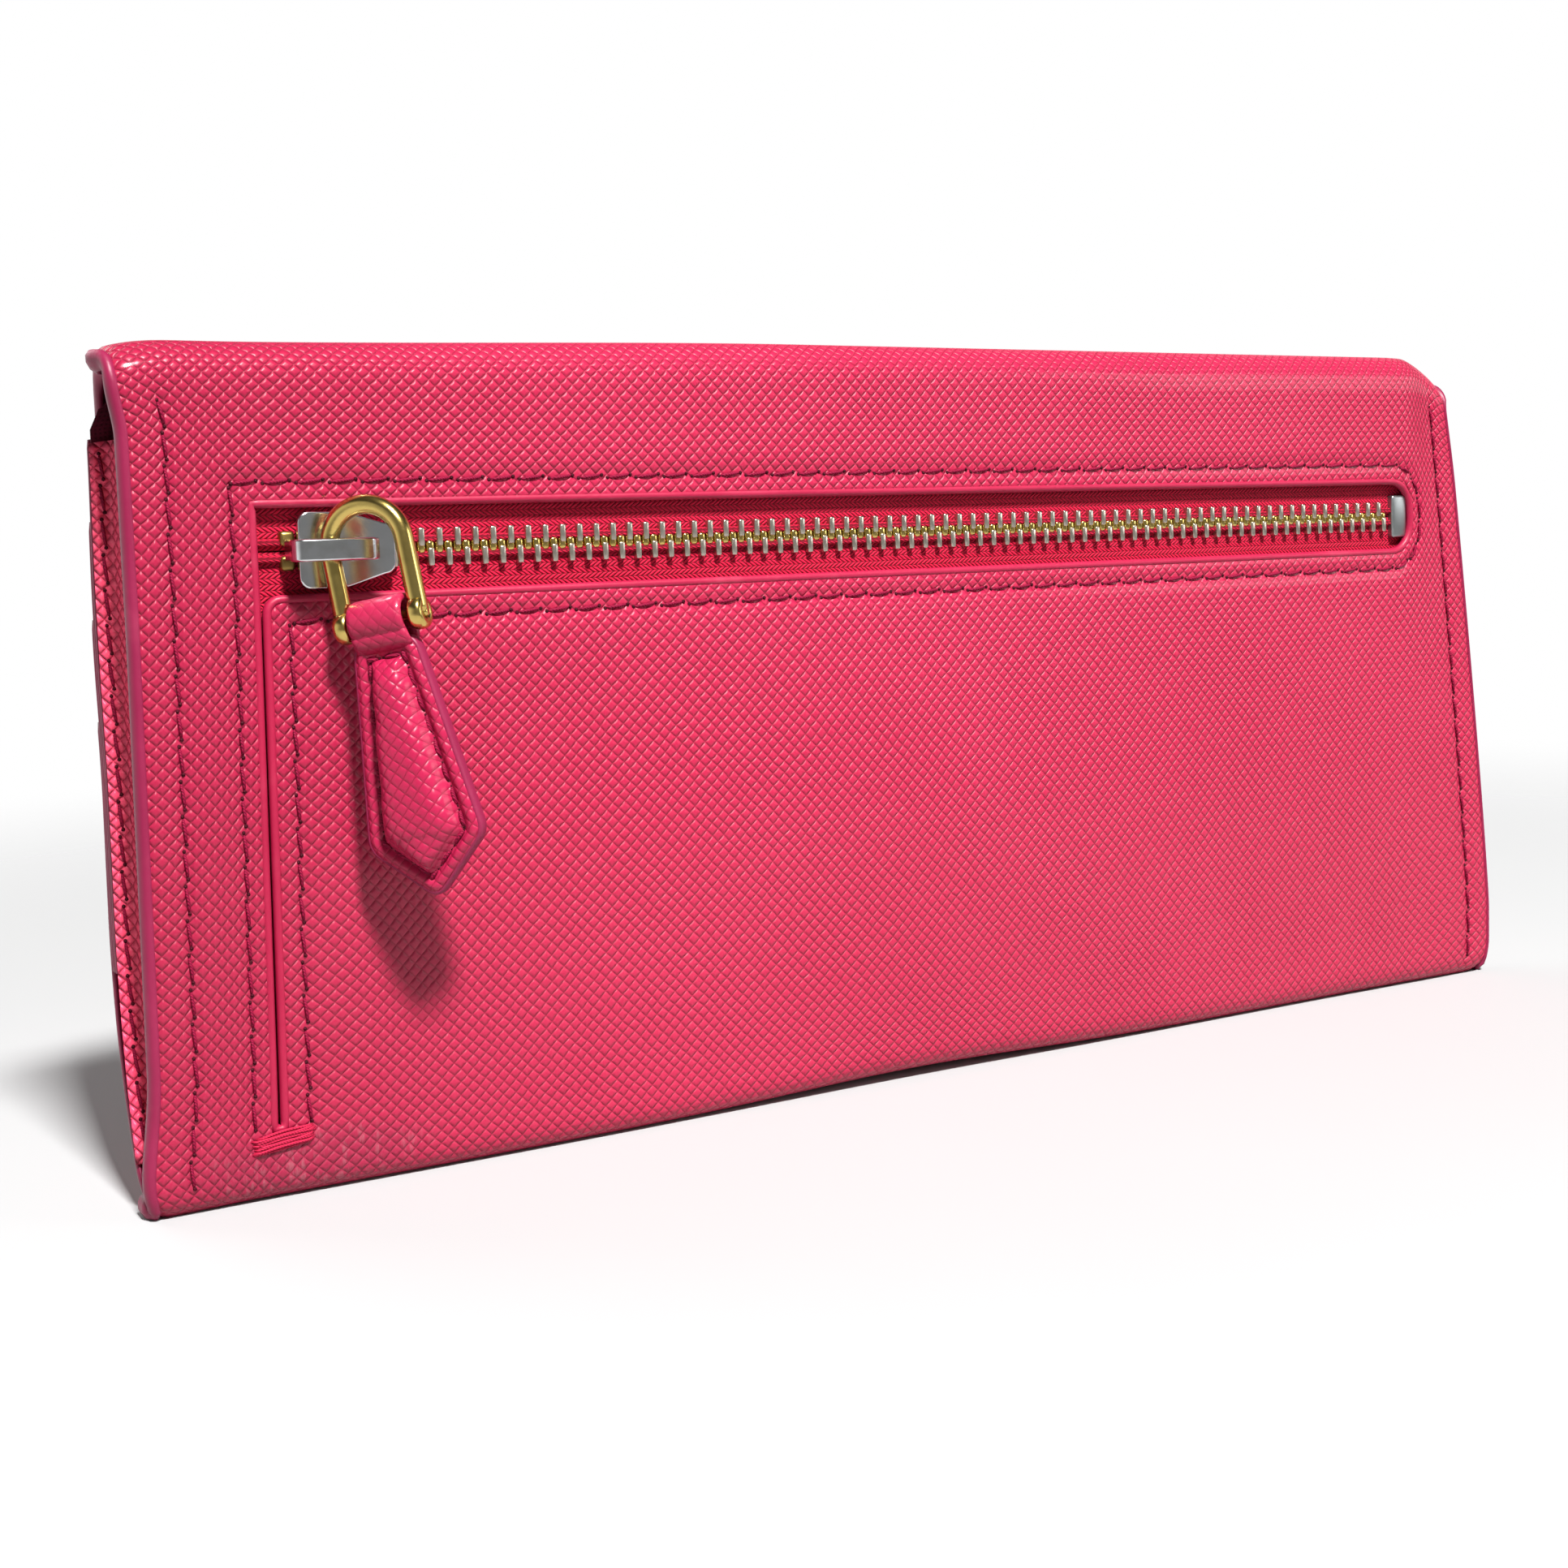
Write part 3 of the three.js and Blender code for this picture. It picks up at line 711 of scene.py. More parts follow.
def rounded_block(name, low, high, bevel, material):
    """A box with rounded edges."""
    shape = bmesh.new()
    bmesh.ops.create_cube(shape, size=1.0)
    size = Vector(high) - Vector(low)
    middle = (Vector(high) + Vector(low)) / 2
    for v in shape.verts:
        v.co = Vector((v.co.x * size.x, v.co.y * size.y, v.co.z * size.z)) + middle
    bmesh.ops.bevel(shape, geom=shape.edges[:], offset=bevel, segments=3, profile=0.5, affect="EDGES")
    mesh = bpy.data.meshes.new(name)
    shape.to_mesh(mesh)
    shape.free()
    return add_piece(name, mesh, material)


def arc_points(centre, radius, start, stop, count=12):
    angles = np.radians(np.linspace(start, stop, count + 1))
    return [(centre[0] + radius * math.cos(a), centre[1] + radius * math.sin(a)) for a in angles]


# ---------------------------------------------------------------- the leather body

back_track = Track((under_high.y, 0)).line(back + under_radius, 0)
back_track.arc((back + under_radius, under_radius), under_radius, 270, 180)
panel_start = back_track.length - under_radius
back_track.line(back, fold_z).arc((back + fold_radius, fold_z), fold_radius, 180, 90).line(0, top)
fold_start = panel_start + fold_z


def panel(z):
    """Arc length of a height on the back panel."""
    return panel_start + z


def bend_rear(piece):
    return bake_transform(piece)


def bend_front(piece):
    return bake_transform(piece)


slit_right = slot_left + slit_width
slit_round = 1.5 * mm
slit_seam = slit_right + 2.4 * mm
inset = 2.3 * mm
end_x = slot_right - slot_corner


def round_end(radius):
    """The slot's right end as points, at a radius about its two corner centres."""
    lower = arc_points((end_x, panel(slot_low) + slot_corner), radius, -90, 0, 8)
    return lower + arc_points((end_x, panel(slot_high) - slot_corner), radius, 0, 90, 8)


opening_row = [(slot_left, panel(slot_high)), (slot_left, panel(slit_foot)), (slit_right, panel(slit_foot))]
opening_row += arc_points((slit_right + slit_round, panel(slot_low) - slit_round), slit_round, 180, 90, 5)
opening_row += round_end(slot_corner)

window_row = [(slit_seam, panel(slot_low) - inset)] + round_end(slot_corner + inset)
window_row += [(slot_left - inset, panel(slot_high) + inset), (slot_left - inset, panel(slit_foot))]
lower_row = [(slit_seam, panel(slot_low) - inset), (slit_seam, panel(slit_foot))]
side_rows = [[(side * (half - edge_inset), panel(2.5 * mm)), (side * (half - edge_inset), panel(84 * mm))]
             for side in (-1, 1)]


def in_opening(x, s):
    z = s - panel_start
    window = (x > slot_left) & (x < slot_right) & (z > slot_low) & (z < slot_high)
    reach = x - end_x
    low = (slot_low + slot_corner) - z
    high = z - (slot_high - slot_corner)
    rise = np.maximum(np.maximum(low, high), 0)
    outside_end = (reach > 0) & (np.hypot(reach, rise) > slot_corner)
    slit = (x > slot_left) & (x < slit_right) & (z > slit_foot) & (z < slot_low + 1 * mm)
    round_x = slit_right + slit_round - x
    round_z = z - (slot_low - slit_round)
    cut = (round_x > 0) & (round_z > 0) & (z < slot_low) & (x > slot_left)
    cut &= np.hypot(round_x, round_z) > slit_round
    return (window & ~outside_end) | slit | cut


def snap_opening(x, s, rim):
    """Rim points move onto the rounded outline of the opening."""
    z = s - panel_start
    x, z = x.copy(), z.copy()
    for centre_z, side in ((slot_low + slot_corner, -1), (slot_high - slot_corner, 1)):
        centre_x = end_x
        near = rim & (x > centre_x) & ((z - centre_z) * side > 0) & (x < slot_right + 2 * mm)
        near &= (np.abs(z - centre_z) < slot_corner + 1 * mm)
        reach = np.hypot(x - centre_x, z - centre_z)
        reach = np.where(near, np.maximum(reach, 1e-6), 1)
        x = np.where(near, centre_x + (x - centre_x) / reach * slot_corner, x)
        z = np.where(near, centre_z + (z - centre_z) / reach * slot_corner, z)
    centre_x, centre_z, radius = slit_right + slit_round, slot_low - slit_round, slit_round
    near = rim & (x < centre_x) & (x > slit_right - 0.1 * mm) & (z > centre_z) & (z < slot_low + 0.1 * mm)
    reach = np.where(near, np.maximum(np.hypot(x - centre_x, z - centre_z), 1e-6), 1)
    x = np.where(near, centre_x + (x - centre_x) / reach * radius, x)
    z = np.where(near, centre_z + (z - centre_z) / reach * radius, z)
    return x, z + panel_start


def around(*places, reach=0.7 * mm):
    return [p + d for p in places for d in (-reach, 0, reach)]


def make_back():
    """The one piece of leather that is the bottom, the back and the rear half of the top."""
    sheet = Sheet(back_track, skin)
    sheet.seams = [window_row, lower_row, *side_rows]
    sheet.edges = [opening_row + opening_row[:1], *[[(side * half, 0), (side * half, back_track.length)]
                                                    for side in (-1, 1)]]
    xs = spread(-half, half, 1.3 * mm, [
        slot_left, slit_right, end_x, slot_right, -half + 0.4 * mm,
        *[half - d * mm for d in (0.3, 0.7, 1.2, 1.8, 2.5)], -half + 0.8 * mm, -half + 1.4 * mm,
        *[slot_right - slot_corner * (1 - f) for f in (0.25, 0.5, 0.7, 0.85, 0.95)],
        *[slit_right + d * mm for d in (0.45, 0.9, 1.5)], slot_left - 0.4 * mm,
        *around(-half + edge_inset, half - edge_inset, slot_left - inset, slit_seam, slot_right + inset)])
    ss = spread(0, back_track.length, 1.3 * mm, [
        panel(slit_foot), panel(slot_low), panel(slot_high), fold_start,
        *[panel(slot_low + slot_corner * f) for f in (0.03, 0.12, 0.3, 0.6)],
        *[panel(slot_high - slot_corner * f) for f in (0.03, 0.12, 0.3, 0.6)],
        *[panel(slot_low - d * mm) for d in (0.45, 1.0, 1.5)], panel(slot_high + 0.4 * mm),
        *around(panel(slot_high + inset), panel(slot_low - inset))])
    piece = sheet.build("back_leather", xs, ss, rose, lambda x, s: ~in_opening(x, s), snap_opening)
    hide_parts("back_outer_panel", "bottom_fold", "flap_fold_rear", "flap_top_outer")
    made = [piece, sheet.bead("opening_edge", opening_row, True, 0.5, lip_paint)]
    for side, word in ((-1, "left"), (1, "right")):
        row = [(side * half, 0), (side * half, back_track.length)]
        made.append(sheet.bead(f"back_edge_{word}", row, False, 0.75 if side < 0 else 0.4, deep=1.1))
    made.append(sheet.bead("bottom_hem_edge", [(-half, 0), (half, 0)], False, 0.3))
    made += sheet.stitches("back_stitches", sheet.seams)
    for p in made:
        bend_rear(p)
    return sheet


def make_flap():
    """The front half of the top and the flap that drops over the front."""
    track = Track((0, top)).line(front - fold_radius, top)
    track.arc((front - fold_radius, fold_z), fold_radius, 90, 0)
    drop = track.length
    track.line(front, flap_hem)
    radius = 12 * mm
    sheet = Sheet(track, skin)
    end = track.length
    hem_row = [(-half, 0), (-half, end - radius)]
    hem_row += arc_points((-half + radius, end - radius), radius, 180, 90, 10)
    hem_row += arc_points((half - radius, end - radius), radius, 90, 0, 10) + [(half, 0)]
    seam = [(-half + edge_inset, 0), (-half + edge_inset, end - radius)]
    seam += arc_points((-half + radius, end - radius), radius - 2.6 * mm, 180, 90, 10)[1:]
    seam += arc_points((half - radius, end - radius), radius - 2.6 * mm, 90, 0, 10)[:-1]
    seam += [(half - edge_inset, end - radius), (half - edge_inset, 0)]
    sheet.seams = [seam]
    sheet.edges = [hem_row]

    def present(x, s):
        reach = np.abs(x) - (half - radius)
        rise = s - (end - radius)
        return ~((reach > 0) & (rise > 0) & (np.hypot(reach, rise) > radius))

    def snap(x, s, rim):
        reach, rise = np.abs(x) - (half - radius), s - (end - radius)
        near = rim & (reach > 0) & (rise > 0)
        size = np.where(near, np.maximum(np.hypot(reach, rise), 1e-6), 1)
        x = np.where(near, np.sign(x) * (half - radius + reach / size * radius), x)
        return x, np.where(near, end - radius + rise / size * radius, s)

    xs = spread(-half, half, 1.4 * mm, [-half + 0.4 * mm, half - 0.4 * mm,
                                        *around(-half + edge_inset, half - edge_inset)])
    ss = spread(0, end, 1.4 * mm, [drop, end - 0.4 * mm, *around(end - 2.6 * mm)])
    piece = sheet.build("flap_leather", xs, ss, rose, present, snap, (0.3, 0.2))
    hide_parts("flap_fold_front", "flap_front_outer")
    made = [piece, sheet.bead("flap_edge", hem_row, False, 0.5, deep=0.8)]
    made += sheet.stitches("flap_stitches", [seam])
    for p in made:
        bend_front(p)


def make_flap_lining():
    """Lining of the top and of the flap, turned at the front fold."""
    top_lining_low, top_lining_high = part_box("flap_top_lining")
    gap = top - top_lining_high.z
    cloth = top_lining_high.z - top_lining_low.z
    radius = fold_radius - gap
    y_back, y_front = back + gap, lining_high.y
    rear = Track((y_back, fold_z)).arc((y_back + radius, fold_z), radius, 180, 90).line(0, top - gap)
    fore = Track((0, top - gap)).line(y_front - radius, top - gap)
    fore.arc((y_front - radius, fold_z), radius, 90, 0).line(y_front, lining_low.z)
    wide = lining_high.x
    corner = 11 * mm
    for name, track, bend in (("top_lining", rear, bend_rear), ("flap_lining", fore, bend_front)):
        sheet = Sheet(track, cloth)
        end = track.length

        def present(x, s):
            if bend is bend_rear:
                return np.ones(np.shape(x), bool)
            reach, rise = np.abs(x) - (wide - corner), s - (end - corner)
            return ~((reach > 0) & (rise > 0) & (np.hypot(reach, rise) > corner))

        piece = sheet.build(name, spread(-wide, wide, 2.2 * mm), spread(0, end, 1.5 * mm), lining, present,
                            turn=(0.05, 0.4))
        bend(piece)
        if bend is bend_rear:
            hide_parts("flap_top_lining")
        else:
            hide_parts("flap_front_lining", "flap_stiffener")


def upright(name, node, material, seams=(), hem=False, grain=(0.0, 0.0), step=1.6):
    """A flat sheet that stands in the place of a CAD sheet and faces the front."""
    low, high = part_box(node)
    track = Track((high.y, high.z)).line(high.y, low.z)
    sheet = Sheet(track, high.y - low.y)
    sheet.seams = list(seams)
    edges = [[(low.x, 0), (low.x, track.length)], [(high.x, 0), (high.x, track.length)],
             [(low.x, 0), (high.x, 0)]]
    sheet.edges = edges if hem else []
    specials = [low.x + 0.4 * mm, high.x - 0.4 * mm] if hem else []
    piece = sheet.build(name, spread(low.x, high.x, step * mm, specials),
                        spread(0, track.length, step * mm, [0.4 * mm] if hem else []), material, turn=grain)
    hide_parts(node)
    made = [piece]
    if hem:
        row = [(low.x, track.length), (low.x, 0), (high.x, 0), (high.x, track.length)]
        made.append(sheet.bead(name + "_edge", row, False, 0.3))
    if seams:
        made += sheet.stitches(name + "_stitches", seams)
    for p in made:
        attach(p, "front_leaf")


def make_front_leaf():
    """Card backing, three stepped card tiers and the front panel that curves in at the bottom."""
    upright("card_back", "card_backing", lining, step=2.4)
    for count in (1, 2, 3):
        node = f"card_tier_{count}"
        low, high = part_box(node)
        length = high.z - low.z
        seams = [[(low.x + 3 * mm, 2.2 * mm), (high.x - 3 * mm, 2.2 * mm)]]
        seam_x = high.x - 4.0 * mm
        seams += [[(side * seam_x, 4 * mm), (side * seam_x, length)] for side in (-1, 1)]
        upright(f"card_slot_{count}", node, coral, seams, True, (count * 0.21, 0.1))

    low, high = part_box("front_outer_panel")
    track = Track((high.y, high.z)).line(high.y, 22 * mm)
    for k in range(1, 13):
        t = k / 12
        y = (1 - t) ** 2 * high.y + 2 * t * (1 - t) * high.y + t * t * 5.0 * mm
        z = (1 - t) ** 2 * 22 * mm + 2 * t * (1 - t) * 8.5 * mm + t * t * 1.6 * mm
        track.line(y, z)
    sheet = Sheet(track, 1.0 * mm)
    end = track.length
    seams = [[(low.x + 3 * mm, 2.4 * mm), (high.x - 3 * mm, 2.4 * mm)]]
    seam_x = high.x - 4.0 * mm
    seams += [[(side * seam_x, 4 * mm), (side * seam_x, end - 2 * mm)] for side in (-1, 1)]
    sheet.seams = seams
    snap_s = high.z - 30 * mm
    hole = 5.2 * mm

    def present(x, s):
        return np.hypot(x, s - snap_s) > hole

    def snap(x, s, rim):
        reach = np.hypot(x, s - snap_s)
        near = rim & (reach < hole * 1.5)
        size = np.where(near, np.maximum(reach, 1e-6), 1)
        return np.where(near, x / size * hole, x), np.where(near, snap_s + (s - snap_s) / size * hole, s)

    fine = np.linspace(-hole, hole, 13)
    xs = spread(low.x, high.x, 1.5 * mm, list(fine))
    ss = spread(0, end, 1.5 * mm, [snap_s + f for f in fine])
    panel_piece = sheet.build("front_panel", xs, ss, coral, present, snap, (0.8, 0.3))
    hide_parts("front_outer_panel")
    row = [(low.x, end), (low.x, 0), (high.x, 0), (high.x, end)]
    made = [panel_piece, sheet.bead("front_panel_edge", row, False, 0.3)]
    made += sheet.stitches("front_panel_stitches", seams)
    for p in made:
        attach(p, "front_leaf")


def make_gusset(side, word):
    """A shallow V of thin leather, grain side out, with a narrow flange on the front leaf."""
    low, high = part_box(f"gusset_{word}")
    outer = max(abs(low.x), abs(high.x))
    fold_share = 0.35
    inner = outer - fold_share * (outer - min(abs(low.x), abs(high.x)))
    middle = -3 * mm
    track = Track((low.y, outer)).line(middle - 1.2 * mm, inner + 1.1 * mm)
    for angle in (-35, 0, 35):
        track.line(middle + 0.9 * mm * math.sin(math.radians(angle)), inner + 1.0 * mm - 0.5 * mm * math.cos(
            math.radians(angle)))
    track.line(middle + 1.2 * mm, inner + 1.1 * mm).line(high.y - 0.8 * mm, outer - 0.5 * mm)
    track.line(high.y - 0.4 * mm, outer + 1.4 * mm)
    end = track.length

    def shape(z, y, x):
        return settle(side * x, y, z)

    sheet = Sheet(track, 0.8 * mm, shape)
    seam = [(low.z + 1 * mm, end - 1.1 * mm), (high.z - 1 * mm, end - 1.1 * mm)]
    sheet.seams = [seam]
    # The gusset's leather is painted lighter than the coral, standing in for light on its shaded walls.
    piece = sheet.build(f"gusset_skin_{word}", spread(low.z, high.z, 1.4 * mm),
                        spread(0, end, 0.7 * mm), gusset_painted_light_leather, turn=(0.15, 0.7))
    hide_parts(f"gusset_{word}")
    made = [piece, *sheet.stitches(f"gusset_stitches_{word}", [seam])]
    for p in made:
        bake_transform(p)


def make_coin_pocket():
    """The pocket behind the zip: a front lining with the mouth cut in it, and a shallow tray."""
    low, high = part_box("coin_pocket_front")
    track = Track((low.y, low.z)).line(low.y, high.z)
    sheet = Sheet(track, high.y - low.y)
    mouth = (slot_left - 0.9 * mm, slot_right + 0.5 * mm,
             slot_low - 0.6 * mm - low.z, slot_high + 0.7 * mm - low.z)

    def present(x, s):
        return ~((x > mouth[0]) & (x < mouth[1]) & (s > mouth[2]) & (s < mouth[3]))

    front_piece = sheet.build("pocket_front_lining", spread(low.x, high.x, 2 * mm, mouth[:2]),
                              spread(0, track.length, 2 * mm, mouth[2:]), mouth_cloth, present)
    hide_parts("coin_pocket_front")

    low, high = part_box("coin_pocket_back")
    cloth = 0.5 * mm
    track = Track((low.y, low.z + cloth)).line(high.y - cloth, low.z + cloth)
    track.line(high.y - cloth, high.z - cloth).line(low.y, high.z - cloth)
    tray = Sheet(track, -cloth)
    back_piece = tray.build("pocket_back_lining", spread(low.x, high.x, 2 * mm),
                            spread(0, track.length, 1.6 * mm, [high.y - cloth - low.y]), lining,
                            turn=(0.3, 0.1))
    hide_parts("coin_pocket_back")
    for p in (front_piece, back_piece):
        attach(p, "body")


# ---------------------------------------------------------------- the zip

def make_tapes():
    """Two woven tapes that meet at the middle of the chain, each with its cord."""
    tapes = (("upper", 1, upper_tape_low, upper_tape_high), ("lower", -1, lower_tape_low, lower_tape_high))
    for word, side, low, high in tapes:
        inner = chain_z + side * 0.06 * mm
        bottom, crest = (inner, high.z) if side > 0 else (low.z, inner)
        track = Track((low.y, bottom)).line(low.y, crest)

        def shape(x, y, z):
            wave = 0.10 * np.sin(np.asarray(x) / (9 * mm)) * np.sin((z - low.z) / (high.z - low.z) * math.pi)
            return np.stack([x, y + wave * mm, z], -1)

        sheet = Sheet(track, high.y - low.y, shape)
        piece = sheet.build(f"tape_{word}", spread(low.x, high.x, 1.2 * mm),
                            spread(0, track.length, 0.5 * mm), tape_weave)
        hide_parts(f"zip_tape_{word}")
        cord_z = chain_z + side * 0.85 * mm
        count = 400
        xs = np.linspace(low.x + 1 * mm, high.x - 1 * mm, count)
        centre = np.stack([xs, np.full(count, low.y - 0.1 * mm), np.full(count, cord_z)], -1)
        cord = tube(f"tape_cord_{word}", centre, np.tile([0, -1.0, 0], (count, 1)), 0.5 * mm, 0.42 * mm,
                    False, tape_weave)
        for p in (piece, cord):
            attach(p, "body")


def block_mesh(size, bevel, segments=2):
    shape = bmesh.new()
    bmesh.ops.create_cube(shape, size=1.0)
    for v in shape.verts:
        v.co = Vector((v.co.x * size[0], v.co.y * size[1], v.co.z * size[2]))
    bmesh.ops.bevel(shape, geom=shape.edges[:], offset=bevel, segments=segments, profile=0.5, affect="EDGES")
    points = np.array([v.co for v in shape.verts])
    faces = [[v.index for v in f.verts] for f in shape.faces]
    shape.free()
    return points, faces


def repeat(name, points, faces, places, material):
    """One piece made of a shape repeated at several places."""
    every = np.concatenate([points + np.array(p) for p in places])
    all_faces = [[v + k * len(points) for v in f] for k in range(len(places)) for f in faces]
    return new_mesh(name, every, all_faces, material)


def make_teeth():
    """Flat bars clamped on the tape, each with a rounded hook that reaches past the middle of the chain."""
    rows = (("upper", 1, upper_teeth_low, upper_teeth_high),
            ("lower", -1, lower_teeth_low, lower_teeth_high))
    for word, side, low, high in rows:
        start, pitch, wide = low.x, 2.05 * mm, 0.85 * mm
        count = round((high.x - low.x - wide) / pitch) + 1
        outer = high.z if side > 0 else low.z
        bar = (wide * 0.82, 2.1 * mm, 1.95 * mm)
        bar_z = outer - side * bar[2] / 2
        bar_places = [(start + wide / 2 + k * pitch, chain_y, bar_z) for k in range(count)]
        points, faces = block_mesh(bar, 0.16 * mm)
        bars = repeat(f"teeth_{word}", points, faces, bar_places, tooth_nickel)
        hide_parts(f"zip_teeth_{word}")
        head = (wide * 1.08, 1.8 * mm, 1.5 * mm)
        head_places = [(x, y, chain_z + side * 0.05 * mm) for x, y, _ in bar_places]
        points, faces = block_mesh(head, 0.34 * mm, 3)
        hooks = repeat(f"teeth_hooks_{word}", points, faces, head_places, gold)
        for p, slot_name in ((bars, "zip_metal"), (hooks, "gold_metal")):
            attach(p, "body")

    low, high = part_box("zip_bottom_stop")
    reach = 0.9 * mm
    body = rounded_block("bottom_stop", (low.x, low.y, low.z - reach), (high.x, high.y, high.z + reach),
                         0.35 * mm, stop_nickel)
    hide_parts("zip_bottom_stop")
    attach(body, "body")
    for word in ("upper", "lower"):
        low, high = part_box(f"zip_top_stop_{word}")
        stop = rounded_block(f"top_stop_{word}", low, high, 0.4 * mm, brass)
        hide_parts(f"zip_top_stop_{word}")
        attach(stop, "body")


def solid_plate(name, outline, y_low, y_high, bevel, material):
    """An outline in x and z made into a plate with rounded edges."""
    shape = bmesh.new()
    front_face = shape.faces.new([shape.verts.new((x, y_low, z)) for x, z in outline])
    grown = bmesh.ops.extrude_face_region(shape, geom=[front_face])
    for v in (g for g in grown["geom"] if isinstance(g, bmesh.types.BMVert)):
        v.co.y = y_high
    bmesh.ops.recalc_face_normals(shape, faces=shape.faces[:])
    flat = [e for e in shape.edges if abs(e.verts[0].co.y - e.verts[1].co.y) < 1e-7]
    bmesh.ops.bevel(shape, geom=flat, offset=bevel, segments=3, profile=0.5, affect="EDGES")
    mesh = bpy.data.meshes.new(name)
    shape.to_mesh(mesh)
    shape.free()
    made = add_piece(name, mesh, material)
    made.modifiers.new("crease", "WEIGHTED_NORMAL")
    return made


def make_slider():
    """Top plate, plate under the chain, and the bridge that holds the ring."""
    low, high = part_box("slider_top_plate")
    x_mid, z_mid = (low.x + high.x) / 2, (low.z + high.z) / 2

    def wing(reach, wide, narrow):
        corner = 1.2 * mm
        rows = []
        for side in (-1, 1):
            turn = arc_points((-reach + corner, side * (wide / 2 - corner)), corner, 180, 180 - side * 90, 5)
            nose = arc_points((reach - corner, side * (narrow / 2 - corner)), corner, side * 90, 0, 5)
            row = turn + [(0, side * wide / 2 - side * 0.1 * mm)] + nose
            rows.append(row)
        outline = rows[0] + list(reversed(rows[1]))
        return [(x_mid + x, z_mid + z) for x, z in outline]

    reach, wide = (high.x - low.x) / 2, high.z - low.z
    nose_wide = 5.4 * mm
    top_plate = solid_plate("slider_plate", wing(reach, wide, nose_wide), low.y, high.y, 0.24 * mm, nickel)
    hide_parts("slider_top_plate")
    low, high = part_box("slider_bottom_plate")
    under = solid_plate("slider_under_plate", wing(reach - 0.3 * mm, wide - 0.6 * mm, nose_wide), low.y,
                        high.y, 0.2 * mm, nickel)
    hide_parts("slider_bottom_plate")

    low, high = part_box("slider_bridge")
    chamfer, heel, wall, roof, ease = 1.1 * mm, 2.2 * mm, 1.2 * mm, 1.0 * mm, 0.3 * mm
    inner_low, inner_high, under_roof = low.x + heel, high.x - wall, low.y + roof
    profile = [(low.x, high.y), (low.x, low.y + chamfer), (low.x + chamfer, low.y),
               (high.x - chamfer, low.y), (high.x, low.y + chamfer), (high.x, high.y),
               (inner_high, high.y), (inner_high, under_roof + ease), (inner_high - ease, under_roof),
               (inner_low + ease, under_roof), (inner_low, under_roof + ease), (inner_low, high.y)]
    bridge = solid_plate("bridge", profile, low.z, high.z, 0.26 * mm, nickel)
    bridge.data.transform(Matrix(((1, 0, 0, 0), (0, 0, 1, 0), (0, 1, 0, 0), (0, 0, 0, 1))))
    bridge.data.flip_normals()
    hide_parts("slider_bridge")
    for p in (top_plate, under, bridge):
        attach(p, "slider")


# ---------------------------------------------------------------- ring and tab

ring_up = Vector(joint["ring_swivel"]["axis"]).normalized()
pin_way = -Vector(joint["tab_swing"]["axis"]).normalized()
inward = ring_up.cross(pin_way).normalized()
ring_place = Vector(joint["ring_swivel"]["pos_m"])
pin_place = Vector(joint["tab_swing"]["pos_m"])


def at_pull(origin, points):
    """World points for places given along the pin, towards the leather and up the ring."""
    turn = np.array([pin_way, inward, ring_up])
    return np.asarray(points, float) @ turn + np.array(origin)


def make_ring():
    """The U of round wire, its two flattened eyes and the pin across them."""
    radius, leg_low, leg_high, wire = 4.2 * mm, -8.2 * mm, -0.4 * mm, 1.02 * mm
    path = [(0, 0, z) for z in np.linspace(leg_low, leg_high, 12)]
    for angle in np.linspace(0, math.pi, 30)[1:-1]:
        path.append((radius * (1 - math.cos(angle)), 0, leg_high + radius * math.sin(angle)))
    path += [(2 * radius, 0, z) for z in np.linspace(leg_high, leg_low, 12)]
    centre = at_pull(ring_place, path)
    toward = np.tile(np.array(inward), (len(centre), 1))
    made = [tube("ring_wire", centre, toward, wire, wire, False, gold, 20)]
    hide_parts("pull_ring")
    for x, word in ((0, "left"), (2 * radius, "right")):
        loop = [(x, 1.15 * mm * math.cos(a), leg_low + 1.15 * mm * math.sin(a))
                for a in np.linspace(0, 2 * math.pi, 29)[:-1]]
        circle = at_pull(ring_place, loop)
        outward = np.tile(np.array(pin_way), (len(circle), 1))
        made.append(tube(f"ring_eye_{word}", circle, outward, 0.85 * mm, 0.62 * mm, True, gold, 16, 0.8))
    ends = [(x, 0, leg_low) for x in (-1.0 * mm, -0.9 * mm, -0.5 * mm, 0, radius, 2 * radius,
                                      2 * radius + 0.5 * mm, 2 * radius + 0.9 * mm, 2 * radius + 1.0 * mm)]
    pin_radius = 0.55 * mm * np.array([0.6, 0.85, 1, 1, 1, 1, 1, 0.85, 0.6])
    line = at_pull(ring_place, ends)
    facing = np.tile(np.array(inward), (len(line), 1))
    made.append(tube("pin", line, facing, pin_radius, pin_radius, False, gold, 16))
    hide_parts("ring_pin")
    for p in made:
        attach(p, "ring")


tab_neck, tab_wide = 3.3 * mm, 6.3 * mm
neck_z, corner_z, tip_z = -2.2 * mm, -23.0 * mm, -28.8 * mm


